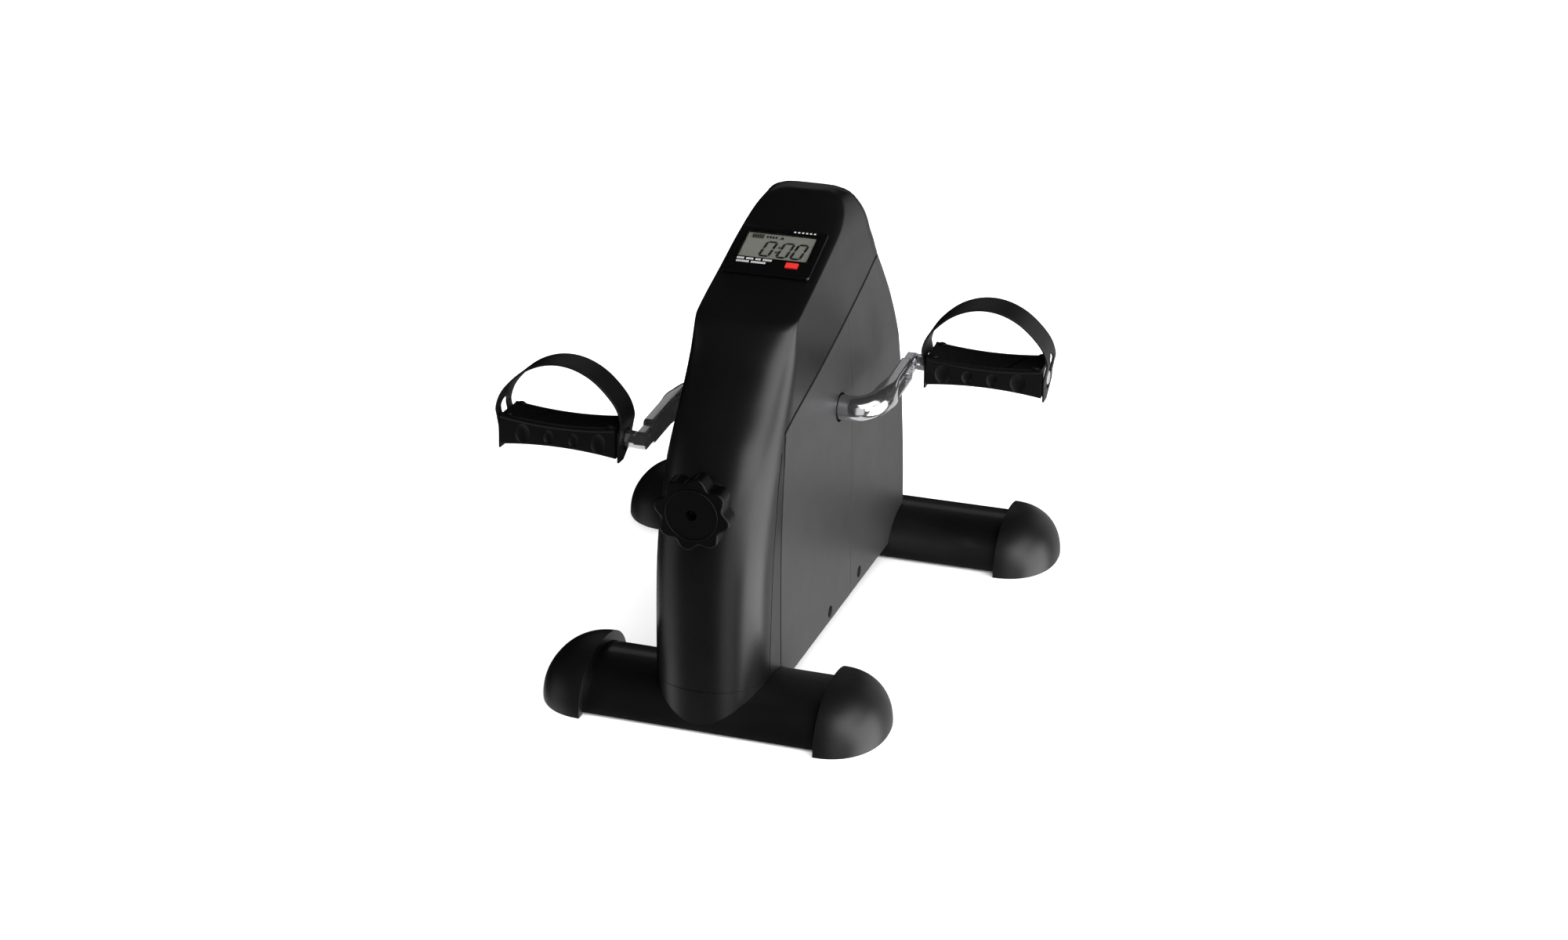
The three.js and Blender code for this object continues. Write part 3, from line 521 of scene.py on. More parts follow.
# The flange behind each joint: how far it goes past the seam's edges and past the rear joint's
# middle, and its outer and inner face.
FLANGE_OVERLAP = 0.9
FLANGE_INSETS = (PANEL_INSET + WALL + GAP, PANEL_INSET + WALL + 1.5)
# A fine crease ahead of the seam, where the round nose meets the flat flank.
NOSE_EDGE_Y = -152
CREASE = [(NOSE_EDGE_Y, BOOT_SEAM_Z - 1), (-152, 45), (-149, 80), (-144, 122), (-133.5, 168), (-125, 188)]
CREASE_WIDTH = 0.9
CREASE_DEPTH = 0.6
# Limits that lie past the casing: across, along, upwards, and the top of the seam's line.
REGION_HALF = 80
BEYOND = 230
ABOVE = 340
SEAM_TOP = 274


def half_width(y, z):
    return HUB_HALF_WIDTH + WEDGE * (y - AXLE.y) - LEAN * max(0, z - LEAN_START)


def smooth_levels(steps):
    """The plan sections, filled in along smooth curves with no overshoot."""
    heights = [level[0] for level in CASING_LEVELS]
    slopes = []
    for column in range(1, 6):
        values = [level[column] for level in CASING_LEVELS]
        secants = [(b - a) / (d - c) for a, b, c, d in zip(values, values[1:], heights, heights[1:])]
        inner = [2 * a * b / (a + b) if a * b > 0 else 0 for a, b in zip(secants, secants[1:])]
        slopes.append([secants[0], *inner, secants[-1]])
    levels = []
    for i in range(len(heights) - 1):
        span = heights[i + 1] - heights[i]
        count = max(2, round(steps * span / 10))
        for k in range(count):
            t = k / count
            row = [heights[i] + span * t]
            for column in range(5):
                a, b = CASING_LEVELS[i][column + 1], CASING_LEVELS[i + 1][column + 1]
                m, n = slopes[column][i] * span, slopes[column][i + 1] * span
                row.append((2 * t ** 3 - 3 * t ** 2 + 1) * a + (t ** 3 - 2 * t ** 2 + t) * m
                           + (3 * t ** 2 - 2 * t ** 3) * b + (t ** 3 - t ** 2) * n)
            levels.append(row)
    return levels + [list(CASING_LEVELS[-1])]


def plan_ring(level, inset):
    z, tip, nose, rear, corner, narrowing = level
    height = z - inset if z > CROWN_START else z
    nose_end = tip + nose
    back = rear - inset
    radius = max(corner - inset, 1)

    def side(y):
        return half_width(y, z) - narrowing - inset

    half = []
    steps = 26
    for i in range(steps):
        angle = math.pi / 2 * (1 - i / steps)
        half.append((side(nose_end) * powered(math.cos(angle), NOSE_POWER),
                     nose_end - (nose - inset) * powered(math.sin(angle), NOSE_POWER)))
    flank = 44
    for i in range(flank):
        y = lerp(nose_end, back - radius, i / flank)
        half.append((side(y), y))
    turns = 10
    for i in range(turns + 1):
        angle = math.pi / 2 * i / turns
        half.append((side(back) - radius + radius * math.cos(angle),
                     back - radius + radius * math.sin(angle)))
    mirrored = [(-x, y) for x, y in reversed(half[1:])]
    return [Vector((x, y, height)) for x, y in half + mirrored]


def casing_body(inset, steps=3):
    rings = [plan_ring(level, inset) for level in smooth_levels(steps)]
    if inset > PANEL_INSET:
        rings.insert(0, [Vector((p.x, p.y, -5)) for p in rings[0]])
    return loft(rings)


def seam_line(shift=0.0):
    return [(p.x + shift, p.y - shift) for p in catmull([(y, z, 0) for y, z in SEAM], 8)]


def region(outline):
    return prism(outline, "x", -REGION_HALF, REGION_HALF)


def flange(strip, root):
    """A thin inner wall: strip is what it covers, and root is where it meets its own shell."""
    outer, inner = FLANGE_INSETS
    cover = cut(casing_body(outer, 1), casing_body(inner, 1))
    foot = cut(casing_body(PANEL_INSET + WALL - GAP, 1), casing_body(inner, 1))
    return join(meet(cover, strip), meet(foot, root))


def seam_strip(low, high):
    edges = [[(PANEL_FRONT_Y + shift, PANEL_BASE_Z), *seam_line(shift)] for shift in (low, high)]
    return region(edges[0] + edges[1][::-1])


def in_display_frame(piece):
    tilt = Matrix.Rotation(DISPLAY["slope"], 4, "X")
    return turn(piece, Matrix.Translation((0, DISPLAY["y"], DISPLAY["z"])) @ tilt)


def centred_block(width, length, low, high):
    return block(-width / 2, width / 2, -length / 2, length / 2, low, high)


def crease():
    line = catmull([(y, z, 0) for y, z in CREASE], 8)
    edges = [[(p.x + shift, p.y) for p in line] for shift in (-CREASE_WIDTH / 2, CREASE_WIDTH / 2)]
    return cut(region(edges[0] + edges[1][::-1]), casing_body(CREASE_DEPTH))


def shroud():
    foot = region(foot_outline(FRONT_Y, GAP))
    flank = [(NOSE_EDGE_Y + GAP, PANEL_BASE_Z), (PANEL_FRONT_Y, PANEL_BASE_Z), *seam_line()]
    above = [(BEYOND, SEAM_TOP), (BEYOND, ABOVE), (-BEYOND, ABOVE),
             (-BEYOND, BOOT_SEAM_Z), (NOSE_EDGE_Y + GAP, BOOT_SEAM_Z)]
    boss = rod("y", 0, KNOB_Z, 13, KNOB_HIGH.y + 2, -158)
    skin = cut(join(casing_body(0), boss), casing_body(PANEL_INSET + WALL, 1))
    recess = prism(rounded(0, 0, DISPLAY["width"] + 2 * GAP, DISPLAY["length"] + 2 * GAP, 2.8),
                   "z", -DISPLAY["rise"] - GAP, 20)
    lid = in_display_frame(recess)
    well = in_display_frame(centred_block(56, 44, -30, 20))
    hole = rod("y", 0, KNOB_Z, SCREW_RADIUS + 1, -200, -120)
    skin = cut(meet(skin, region(flank + above)), lid, well, hole, foot)
    skin = cut(soften(skin, 0.55, 2, 38), crease())
    covered = seam_strip(-FLANGE_OVERLAP, SEAM_GROOVE + FLANGE_OVERLAP)
    behind_seam = flange(covered, seam_strip(-FLANGE_OVERLAP, -GAP))
    return join(skin, cut(behind_seam, region(foot_outline(FRONT_Y, GAP))))


def boot():
    top = BOOT_SEAM_Z - GAP
    outline = [(-BEYOND, -1), (NOSE_EDGE_Y, -1), (NOSE_EDGE_Y, top), (-BEYOND, top)]
    skin = cut(casing_body(0), casing_body(PANEL_INSET + WALL, 1))
    skin = cut(meet(skin, region(outline)), region(foot_outline(FRONT_Y, GAP)))
    return soften(skin, 0.5, 2, 38)


def side_skin():
    groove = SEAM_GROOVE
    outline = [(PANEL_FRONT_Y + groove, PANEL_BASE_Z), *seam_line(groove),
               (BEYOND, SEAM_TOP - groove), (BEYOND, PANEL_BASE_Z)]
    skin = cut(casing_body(PANEL_INSET), casing_body(PANEL_INSET + WALL, 1))
    skin = meet(skin, region(outline))
    holes = [rod("x", y, z, 4.5, -REGION_HALF, REGION_HALF) for y, z in CASING_SCREWS]
    hub = rod("x", AXLE.y, AXLE.z, HUB_HOLE_RADIUS, -REGION_HALF, REGION_HALF, 72)
    feet = [region(foot_outline(y, GAP)) for y in (FRONT_Y, REAR_Y)]
    return cut(skin, hub, *holes, *feet)


def rear_joint_flange(x0, x1):
    """Covers the rear joint from inside, from the panel's foot to the shroud's flange."""
    def upright(low, high):
        return block(x0, x1, REAR_JOINT_Y + low, REAR_JOINT_Y + high, PANEL_BASE_Z, 300)

    hub = rod("x", AXLE.y, AXLE.z, HUB_HOLE_RADIUS, -REGION_HALF, REGION_HALF, 72)
    top = [(-BEYOND, ABOVE), *seam_line(SEAM_GROOVE + FLANGE_OVERLAP + GAP), (BEYOND, ABOVE)]
    covered = upright(-FLANGE_OVERLAP, FLANGE_OVERLAP)
    return cut(flange(covered, upright(-FLANGE_OVERLAP, -GAP)), hub, region(top))


def add_casing():
    put(shroud(), "shroud_shell", "frame", SATIN_BLACK, ["front_shroud"])
    put(boot(), "boot_shell", "frame", SATIN_BLACK, ["front_boot"])
    skin = side_skin()
    for side, x0, x1 in (("right", GAP / 2, REGION_HALF), ("left", -REGION_HALF, -GAP / 2)):
        spans = {"side_panel": (-BEYOND, REAR_JOINT_Y - GAP), "rear_shell": (REAR_JOINT_Y + GAP, BEYOND)}
        for part, (y0, y1) in spans.items():
            piece = meet(copy(skin), block(x0, x1, y0, y1, -1, ABOVE))
            soften(piece, 0.55, 3, 38)
            if part == "side_panel":
                piece = join(piece, rear_joint_flange(x0, x1))
            put(piece, f"{part}_skin_{side}", "frame", PANEL_GREY, [f"{part}_{side}"])
    bpy.data.objects.remove(skin)


# ------------------------------------------------------------------ cranks and spindles
# The arm's centreline in the right crank's own frame: x outward, y along the arm.
ARM_PATH = [(44.5, 0, 0), (53, 0, 0), (61, 3, 0), (67, 11.5, 0), (70, 25, 0), (71.5, 44, 0),
            (71.5, CRANK_RADIUS + 8, 0)]
ARM_TUBE_RADIUS = 9.2
ARM_THICKNESS = 9
ARM_HEIGHT = 18
TONGUE_HEIGHT = 12.8
TONGUE_THICKNESS = 8.2
TONGUE_FACE_X = 71.5 + ARM_THICKNESS / 2 - (ARM_THICKNESS - TONGUE_THICKNESS)
TROUGH = {"y": 54, "length": 48, "height": 10.4, "floor_x": 73.2}
COLLAR_RADIUS = 6.1
COLLAR_END = 83
SPINDLE_RADIUS = 5
AXLE_RADIUS = 7.5
AXLE_HALF = 54
PEDAL_TILT = {"right": 0.02, "left": -0.07}


def crank_place(side):
    """From the right crank's own frame to the row frame; the left crank is half a turn round Z."""
    half_turn = Matrix.Rotation(math.pi if side == "left" else 0, 4, "Z")
    return Matrix.Translation(AXLE) @ Matrix.Rotation(CRANK_ANGLE, 4, "X") @ half_turn


def pedal_place(side):
    sense = -1 if side == "left" else 1
    level = Matrix.Rotation(sense * (PEDAL_TILT[side] - CRANK_ANGLE), 4, "X")
    return crank_place(side) @ Matrix.Translation((0, CRANK_RADIUS, 0)) @ level


def arm_rings(steps=150, around=56):
    line = even(catmull(ARM_PATH, 24), steps)
    rings = []
    for i, centre in enumerate(line):
        t = i / steps
        along = (line[min(i + 1, steps)] - line[max(i - 1, 0)]).normalized()
        across = Vector((along.y, -along.x, 0))
        flat = smoothstep(t, 0.3, 0.55)
        power = 2 + 4 * flat
        tongue = smoothstep(t, 0.80, 0.83)
        thickness = lerp(ARM_THICKNESS, TONGUE_THICKNESS, tongue)
        centre = centre + across * ((thickness - ARM_THICKNESS) / 2)
        half_across = lerp(ARM_TUBE_RADIUS, thickness / 2, flat)
        height = lerp(ARM_HEIGHT, TONGUE_HEIGHT, tongue)
        half_up = lerp(ARM_TUBE_RADIUS, height / 2, flat)
        ring = []
        for c, s in circle(0, 0, 1, around):
            ring.append(centre + across * (half_across * powered(c, power))
                        + Vector((0, 0, half_up * powered(s, power))))
        rings.append(ring)
    return rings


def crank_arm():
    arm = loft(arm_rings())
    socket = rod("x", 0, 0, AXLE_RADIUS + GAP, 40, AXLE_HALF + 1)
    eye = rod("x", CRANK_RADIUS, 0, SPINDLE_RADIUS + GAP, 55, 90)
    hollow = rounded(TROUGH["y"], 0, TROUGH["length"], TROUGH["height"], TROUGH["height"] / 2 - 0.01, 14)
    trough = prism(hollow, "x", TROUGH["floor_x"], 95)
    beyond_eye = block(55, 90, CRANK_RADIUS, CRANK_RADIUS + 20, -20, 20)
    tip = cut(beyond_eye, rod("x", CRANK_RADIUS, 0, TONGUE_HEIGHT / 2, 50, 95, 80))
    return soften(cut(arm, socket, eye, trough, tip), 0.5, 3, 40)


def spindle():
    """The pedal's axle, with a six-sided collar for the spanner."""
    shaft = turned([(0, 67), (4.4, 67), (5, 67.6), (5, 166), (0, 166)], 56)
    collar = prism(circle(0, 0, COLLAR_RADIUS, 6), "x", TONGUE_FACE_X + GAP, COLLAR_END)
    barrel = turned([(0, TONGUE_FACE_X), (5.2, TONGUE_FACE_X), (6.4, TONGUE_FACE_X + 1.4),
                     (6.4, COLLAR_END - 1.2), (5.2, COLLAR_END), (0, COLLAR_END)], 56)
    return soften(join(meet(collar, barrel), shaft), 0.25, 2, 25)


# ------------------------------------------------------------------ pedals
PEDAL_INNER_X = 86
PEDAL_LENGTH = 86
PEDAL_OUTER_X = PEDAL_INNER_X + PEDAL_LENGTH
PEDAL_HALF_DEPTH = 15
PEDAL_HALF_HEIGHT = 11.4
RIBS = 9
RIB_PITCH = 2.55
RIB_HEIGHT = 1.1
PEDAL_LIP = 0.9
SCALLOPS = [(12.5, 7.5), (31, 5.4), (49.5, 5.4), (69, 7.5)]


def pedal_section(x):
    """The pedal's outline in (y, z) at one x: ribbed tread, lipped edges, arched underside."""
    share = (x - PEDAL_INNER_X) / PEDAL_LENGTH
    bow = 1 - (2 * share - 1) ** 2
    top = PEDAL_HALF_HEIGHT - 3.2 * bow
    under = -PEDAL_HALF_HEIGHT + 3 * bow
    d = PEDAL_HALF_DEPTH
    tread = RIBS * RIB_PITCH / 2
    points = []
    steps = RIBS * 10
    for i in range(steps + 1):
        y = -tread + 2 * tread * i / steps
        wave = 0.5 - 0.5 * math.cos(2 * math.pi * i / 10)
        points.append((y, top - RIB_HEIGHT * (1 - wave ** 0.7)))
    for sign in (1, -1):
        edge = [(sign * (tread + 0.3), top - 0.2), (sign * (tread + 1.0), top + 0.25),
                (sign * (d - 0.2), top + 0.1), (sign * (d + PEDAL_LIP - 0.5), top - 0.5),
                (sign * (d + PEDAL_LIP - 0.3), top - 1.6), (sign * (d + 0.1), top - 2.5),
                (sign * d, top - 3.2), (sign * d, lerp(top, under, 0.5)),
                (sign * d, under + 1.6), (sign * (d - 0.5), under + 0.5), (sign * (d - 1.6), under),
                (sign * (d - 6), under)]
        points += edge if sign > 0 else edge[::-1]
    return points


def ellipsoid(centre, radii, across=40, down=24):
    x, y, z = centre
    rings = []
    for i in range(1, down):
        angle = math.pi * i / down
        depth = y + radii[1] * math.cos(angle)
        rings.append([Vector((x + radii[0] * u, depth, z + radii[2] * v))
                      for u, v in circle(0, 0, math.sin(angle), across)])
    return loft(rings)


def pedal_body():
    steps = 72
    rings = []
    for i in range(steps + 1):
        x = PEDAL_INNER_X + PEDAL_LENGTH * i / steps
        rings.append([Vector((x, y, z)) for y, z in pedal_section(x)])
    body = loft(rings)
    bumps = [ellipsoid((x, 12.2 * sign, PEDAL_HALF_HEIGHT - 0.4), (3.2, 1.9, 1.7))
             for x in (PEDAL_INNER_X + 5, PEDAL_OUTER_X - 5) for sign in (-1, 1)]
    body = join(body, *bumps)
    dents = [ellipsoid((PEDAL_INNER_X + offset, face * (PEDAL_HALF_DEPTH + 0.5), -1.2),
                       (size * 0.8, 2.2, size))
             for offset, size in SCALLOPS for face in (-1, 1)]
    slash = turn(centred_block(2.6, 24, -1.5, 6),
                 Matrix.Translation((150, 0, PEDAL_HALF_HEIGHT - 2.2 - 1.1))
                 @ Matrix.Rotation(-0.42, 4, "Z"))
    bore = rod("x", 0, 0, SPINDLE_RADIUS + GAP, PEDAL_INNER_X - 1, PEDAL_OUTER_X - 4)
    well = rod("x", 0, 0, 8, PEDAL_OUTER_X - 4.2, PEDAL_OUTER_X + 1)
    body = cut(body, *dents, slash, bore, well)
    return soften(body, 0.35, 2, 48)


def pedal_end_cap():
    end = PEDAL_OUTER_X
    return turned([(0, end - 4), (7.6, end - 4), (7.6, end - 0.8), (7.1, end - 0.3), (5.1, end + 0.2),
                   (5.1, end + 2.2), (4.7, end + 2.6), (2.4, end + 2.8), (2.1, end + 2.4),
                   (0, end + 2.4)], 56)


STRAP_WIDTH = 26
STRAP_THICKNESS = 1.5
STRAP_TOP = 52.5


def strap(sense):
    inner, outer = PEDAL_INNER_X - 1.6, PEDAL_OUTER_X + 1.6
    leg = [(0, -14.5), (0, 0), (-1.2, 8), (-2, 16), (3, 28), (16, 41.5), (30, 49.2)]
    path = [(inner + x, z) for x, z in leg]
    path += [((inner + outer) / 2, STRAP_TOP - STRAP_THICKNESS / 2)]
    path += [(outer - x, z) for x, z in reversed(leg)]
    steps = 170
    line = even(catmull([(x, 0, z) for x, z in path], 24), steps)
    outline = rounded(0, 0, STRAP_WIDTH, STRAP_THICKNESS, 0.5, 4)
    rings = []
    for i, centre in enumerate(line):
        along = (line[min(i + 1, steps)] - line[max(i - 1, 0)]).normalized()
        out = Vector((-along.z, 0, along.x))
        rings.append([centre + Vector((0, u, 0)) + out * v for u, v in outline])
    hole = rod("x", 0, 0, 8, 60, PEDAL_INNER_X + 10)
    slot = prism(rounded(0, 5.5, 11, 27.5, 5.4, 10), "x", outer - 5, outer + 30)
    slant = prism([(-8 * sense, -17), (20 * sense, -17), (20 * sense, 0)],
                  "x", PEDAL_INNER_X - 10, outer + 10)
    holes = [rod("x", y * sense, z, 1.1, outer - 5, outer + 30, 20)
             for y, z in ((9.3, 14), (9.3, 8), (9.3, 2), (-9.3, 2), (-9.3, -4))]
    band = cut(loft(rings), hole, slot, slant, *holes)
    return soften(band, 0.35, 2, 45)


def add_crankset():
    for side in ("right", "left"):
        sense = -1 if side == "left" else 1
        body = f"pedal_{side}"
        on_crank, on_pedal = crank_place(side), pedal_place(side)
        put(crank_arm(), f"crank_bar_{side}", "crankset", CHROME, [f"crank_arm_{side}"],
            place=on_crank)
        shaft = Matrix.Translation((0, CRANK_RADIUS, 0))
        put(spindle(), f"spindle_{side}", "crankset", CHROME, [f"pedal_spindle_{side}"],
            place=on_crank @ shaft)
        put(pedal_body(), f"pedal_block_{side}", body, PEDAL_BLACK, [f"pedal_body_{side}"],
            place=on_pedal)
        put(pedal_end_cap(), f"pedal_plug_{side}", body, CAP_GREY, [f"pedal_end_cap_{side}"],
            place=on_pedal)
        put(strap(sense), f"foot_strap_{side}", body, STRAP_BLACK, [f"pedal_strap_{side}"],
            place=on_pedal)


# ------------------------------------------------------------------ tension knob
KNOB_PHASE = 0.67
KNOB_DIP = 4.6
KNOB_RING_RADIUS = 18.2
# The knob's rounded edges: depth behind its front face, and how much smaller it is there.
KNOB_EDGE = [(0, 1.6), (0.25, 0.85), (0.7, 0.3), (1.4, 0), (13.6, 0.2), (14.2, 0.5), (14.5, 1.0)]


def knob_outline(radius, dip, steps_per_lobe=16):
    points = []
    for i in range(KNOB_LOBES * steps_per_lobe):
        angle = 2 * math.pi * i / (KNOB_LOBES * steps_per_lobe)
        from_lobe = abs(math.sin(KNOB_LOBES * angle / 2 + KNOB_PHASE))
        r = radius - dip * from_lobe ** 2.4
        points.append((r * math.cos(angle), KNOB_Z + r * math.sin(angle)))
    return points


def tension_knob():
    front, back = KNOB_LOW.y, KNOB_HIGH.y
    rings = []
    for depth, shrink in KNOB_EDGE:
        outline = knob_outline(KNOB_RADIUS - shrink, KNOB_DIP)
        rings.append([Vector((x, front + depth, z)) for x, z in outline])
    knob = loft(rings)
    to_face = Matrix.Translation((0, front, KNOB_Z)) @ Matrix.Rotation(-math.pi / 2, 4, "Z")
    rim = 0.4
    bead = [(KNOB_RING_RADIUS + rim * math.cos(a), rim * math.sin(a) + 0.1)
            for a in (2 * math.pi * i / 14 for i in range(14))]
    knob = join(knob, turn(turned(bead, 120), to_face))
    hole = rod("y", 0, KNOB_Z, 3.8, front - 2, back + 1)
    return soften(cut(knob, hole), 0.4, 2, 45)


def add_knob():
    put(tension_knob(), "knob_grip", "knob", KNOB_BLACK, ["tension_knob"])


# ------------------------------------------------------------------ counter
LCD_FACE = -1.1
SEGMENT = 1.75
DIGIT_WIDTH = 6.8
DIGIT_HEIGHT = 15.6
DIGIT_SLANT = 0.15
PRINT_PITCH = 1.35


def add_print(name, outlines, depth, material, thickness=0.12):
    """Flat marks, one small plate for each outline, joined in one piece."""
    vertices, faces = [], []
    for outline in outlines:
        base = len(vertices)
        n = len(outline)
        vertices += [Vector((u, v, depth)) for u, v in outline]
        vertices += [Vector((u, v, depth + thickness)) for u, v in outline]
        faces.append(tuple(base + i for i in range(n - 1, -1, -1)))
        faces.append(tuple(base + n + i for i in range(n)))
        faces += [(base + i, base + (i + 1) % n, base + n + (i + 1) % n, base + n + i) for i in range(n)]
    data = bpy.data.meshes.new(name)
    data.from_pydata([tuple(v) for v in vertices], [], faces)
    marks = bpy.data.objects.new(name, data)
    bpy.context.scene.collection.objects.link(marks)
    return put(in_display_frame(marks), name, "frame", material)


def bar(u0, v0, u1, v1, width):
    """A segment with pointed ends between two points, level or upright."""
    h = width / 2
    if abs(u1 - u0) > abs(v1 - v0):
        return [(u0, v0), (u0 + h, v0 - h), (u1 - h, v1 - h), (u1, v1), (u1 - h, v1 + h), (u0 + h, v0 + h)]
    return [(u0, v0), (u0 + h, v0 + h), (u1 + h, v1 - h), (u1, v1), (u1 - h, v1 - h), (u0 - h, v0 + h)]


def slanted(outline, foot):
    return [(u + DIGIT_SLANT * (v - foot), v) for u, v in outline]


def zero_digit(u, v):
    """The six outer segments of a seven-segment digit, from its lower left corner."""
    w, h, g = DIGIT_WIDTH, DIGIT_HEIGHT, 0.25
    middle = v + h / 2
    corners = [((u, v), (u + w, v)), ((u, v + h), (u + w, v + h))]
    segments = [bar(a[0] + g, a[1], b[0] - g, b[1], SEGMENT) for a, b in corners]
    for side in (u, u + w):
        segments.append(bar(side, v + g, side, middle - g, SEGMENT))
        segments.append(bar(side, middle + g, side, v + h - g, SEGMENT))
    return [slanted(s, v) for s in segments]


def dash(u, v, length, height):
    return [(u, v), (u + length, v), (u + length, v + height), (u, v + height)]


def opening(place, growth_u, growth_v, radius, low, high):
    """A rounded block at the window or the key, larger than it by the growth."""
    outline = rounded(place["x"], place["v"], place["width"] + growth_u, place["height"] + growth_v, radius)
    return prism(outline, "z", low, high)


def counter_plate():
    rise = DISPLAY["rise"]
    plate = prism(rounded(0, 0, DISPLAY["width"], DISPLAY["length"], 2.5, 8), "z", -rise, 0)
    frame_line = cut(opening(WINDOW, 3.6, 3.2, 2.4, -0.35, 1), opening(WINDOW, 2.4, 2, 1.8, -1, 2))
    window = opening(WINDOW, 0, 0, 1.4, -rise - 1, 1)
    key = opening(BUTTON, 0.6, 0.6, 0.8, -4, 1)
    walls = cut(centred_block(55, 43, -14, -rise + 0.5), centred_block(52, 40, -15, -rise))
    plate = soften(plate, 0.8, 3, 45)
    return in_display_frame(cut(join(plate, walls), window, key, frame_line))


def red_key():
    low, high = -6, 0.8
    rings = []
    for z, grow in ((low, 0), (high - 0.45, 0), (high - 0.12, -0.25), (high, -0.8)):
        outline = rounded(BUTTON["x"], BUTTON["v"], BUTTON["width"] + grow, BUTTON["height"] + grow, 0.7)
        rings.append([Vector((u, v, z)) for u, v in outline])
    return in_display_frame(loft(rings))


def lcd_panel():
    return in_display_frame(opening(WINDOW, -0.6, -0.6, 1.2, -4.8, LCD_FACE))


def add_counter():
    put(counter_plate(), "counter_plate", "frame", BEZEL_BLACK, ["display_bezel"])
    put(red_key(), "red_key", "button", KEY_RED, ["reset_button"])
    put(lcd_panel(), "lcd_panel", "frame", LCD_GREEN, ["display_lcd"])
    pane = in_display_frame(opening(WINDOW, -0.6, -0.6, 1.2, -0.8, -0.2))
    put(pane, "window_pane", "frame", CLEAR_LENS, ["display_lens"])
    low_u, low_v = WINDOW["x"] - WINDOW["width"] / 2, WINDOW["v"] - WINDOW["height"] / 2
    surface = LCD_FACE + 0.02
    digits = []
    foot = low_v + 3.4
    for u in (14.6, 27.2, 37.4):
        digits += zero_digit(low_u + u, foot)
    digits += [slanted(dash(low_u + 24.4, foot + v, 1.6, 1.6), foot) for v in (4.0, 9.4)]
    top = low_v + WINDOW["height"] - 4.9
    digits += [[(low_u + 24.0, top), (low_u + 27.4, top), (low_u + 25.7, top + 2.8)]]
    digits += [dash(low_u + 3.9 + 1.75 * i, top + 0.1, 1.35, 2.5) for i in range(5)]
    digits += [dash(low_u + 3.5, v, 9.2, 0.5) for v in (top - 0.8, top + 3.0)]
    digits += [dash(low_u + 14.2 + 2.15 * i, top + 0.2, 1.4, 2.3) for i in range(4)]
    add_print("lcd_marks", digits, surface, LCD_INK)
    white = []
    for row, lengths in enumerate(([4, 4, 3, 5], [7, 8])):
        u = -24.6 + 0.4 * row
        for length in lengths:
            white += [dash(u + PRINT_PITCH * i, -11.6 - 3.3 * row, 0.95, 2.0) for i in range(length)]
            u += PRINT_PITCH * (length + 1)
    white += [dash(7.0 + 2.9 * i, 21.9, 1.5, 1.4) for i in range(6)]
    add_print("counter_marks", white, 0.0, PRINT_WHITE, 0.06)


add_feet()
add_casing()
add_crankset()
add_knob()
add_counter()

# ------------------------------------------------------------------ CAD nodes that stay
KEPT = {
    "base_beam": FRAME_BLACK_AND_HOLE_SHADE, "upright_plate_right": FRAME_BLACK_AND_HOLE_SHADE, "upright_plate_left": FRAME_BLACK_AND_HOLE_SHADE,
    "bearing_right": STEEL, "bearing_left": STEEL, "crank_axle": STEEL, "brake_wheel": FRAME_BLACK_AND_HOLE_SHADE,
    # The tension screw's steel carries painted shade: it is darkened for its place deep in the knob's hole.
    "tension_nut": STEEL, "tension_screw": PAINTED_SHADE_STEEL, "tension_spring": STEEL, "band_anchor": STEEL,
    "brake_band": FELT, "speed_sensor": BEZEL_BLACK, "speed_magnet": STEEL,
    # The casing screws take the frame's black so that their deep holes read dark: painted shade in the
    # holes.
    "casing_screw_right_front": FRAME_BLACK_AND_HOLE_SHADE, "casing_screw_right_rear": FRAME_BLACK_AND_HOLE_SHADE,
    "casing_screw_left_front": FRAME_BLACK_AND_HOLE_SHADE, "casing_screw_left_rear": FRAME_BLACK_AND_HOLE_SHADE,
    "display_board": BOARD_GREEN, "display_battery": BATTERY,
}
for node, material in KEPT.items():
    data = frame["nodes"][node].data
    data.materials.clear()
    data.materials.append(material)

# ------------------------------------------------------------------ floor, light, camera
def card(name, place, aim, size, radiance):
    """A soft light card that faces aim, as bright per area as radiance says."""
    data = bpy.data.lights.new(name, "AREA")
    data.shape = "RECTANGLE"
    data.size, data.size_y = size
    data.energy = radiance * math.pi * size[0] * size[1]
    lamp = bpy.data.objects.new(name, data)
    lamp.location = place
    lamp.rotation_euler = (Vector(aim) - Vector(place)).to_track_quat("-Z", "Y").to_euler()
    lamp.visible_camera = False
    bpy.context.scene.collection.objects.link(lamp)
    return lamp


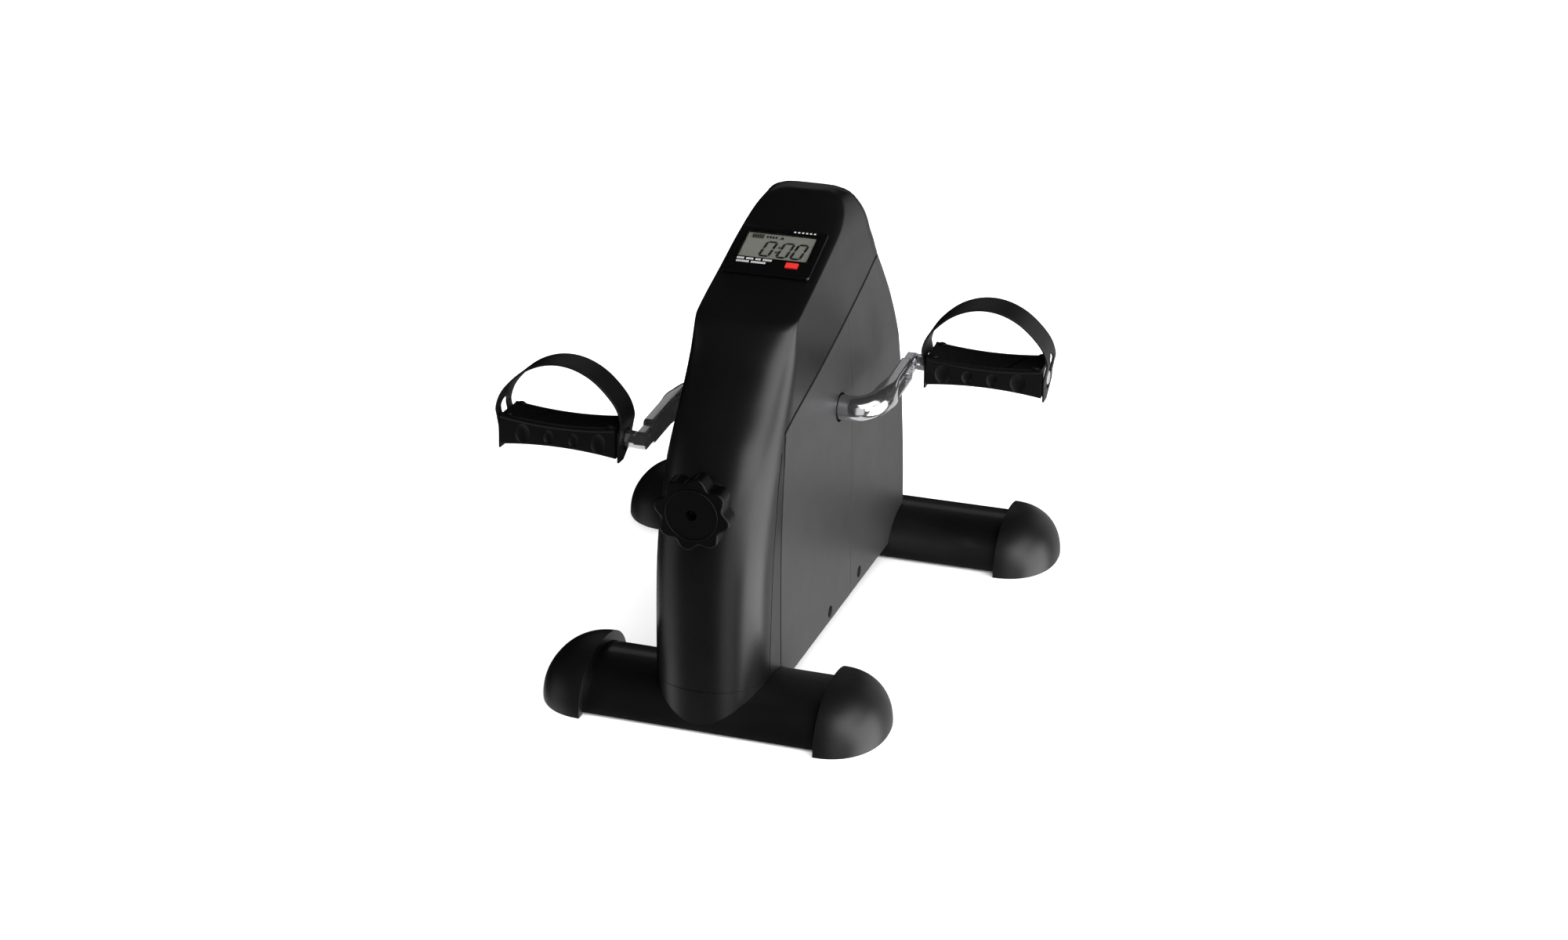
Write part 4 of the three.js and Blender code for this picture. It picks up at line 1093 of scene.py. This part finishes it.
def add_floor():
    span = 40.0
    data = bpy.data.meshes.new("floor")
    corners = [(-span, -span, 0), (span, -span, 0), (span, span, 0), (-span, span, 0)]
    data.from_pydata(corners, [], [(0, 1, 2, 3)])
    floor = bpy.data.objects.new("floor", data)
    bpy.context.scene.collection.objects.link(floor)
    data.materials.append(shader("floor_white", (0.95, 0.95, 0.95), 0.9, specular=0.0))
    floor.visible_glossy = False
    floor.visible_shadow = False


def add_camera():
    data = bpy.data.cameras.new("camera")
    data.lens = 61.70
    data.sensor_width = 36
    camera = bpy.data.objects.new("camera", data)
    camera.location = (0.55392, -1.69148, 0.92709)
    camera.rotation_euler = (math.radians(65.5), 0, math.radians(18.12))
    bpy.context.scene.collection.objects.link(camera)
    bpy.context.scene.camera = camera


def add_world():
    """An even white dome that lights the floor, and isn't mirrored in the black pieces."""
    world = bpy.data.worlds.new("studio")
    bpy.context.scene.world = world
    world.use_nodes = True
    world.node_tree.nodes["Background"].inputs["Color"].default_value = (1, 1, 1, 1)
    world.node_tree.nodes["Background"].inputs["Strength"].default_value = 1.6
    world.cycles_visibility.glossy = False


# Soft cards, all aimed at the casing's middle: name, place, width and height, radiance.
CARD_AIM = (0, 0, 0.12)
CARDS = [
    ("tall_right", (1.6, 0.1, -0.3), (1.7, 2.3), 3.6),
    ("upper_right", (1.3, -0.11, 1.2), (1.0, 0.9), 2.0),
    ("front_right", (0.8, -1.45, 0.0), (0.8, 2.2), 0.9),
    ("left", (-1.45, -0.65, -0.25), (1.1, 1.7), 0.5),
    ("nose_right", (1.45, -0.85, 0.45), (0.8, 1.0), 2.6),
    ("nose_upper", (0.95, -0.85, 1.12), (1.0, 0.9), 3.4),
    ("back_right", (0.52, 1.5, -0.6), (1.25, 2.2), 0.65),
    ("crown_right", (0.75, 1.56, 0.63), (0.5, 0.5), 0.6),
    ("back", (-0.6, 1.8, 0.95), (1.2, 0.5), 0.35),
    ("below", (-0.3, 0, -0.9), (2.0, 2.0), 0.9),
]


def add_lights():
    for name, place, size, radiance in CARDS:
        card(name, place, CARD_AIM, size, radiance)


bpy.context.scene.view_settings.view_transform = "Standard"
add_floor()
add_camera()
add_world()
add_lights()
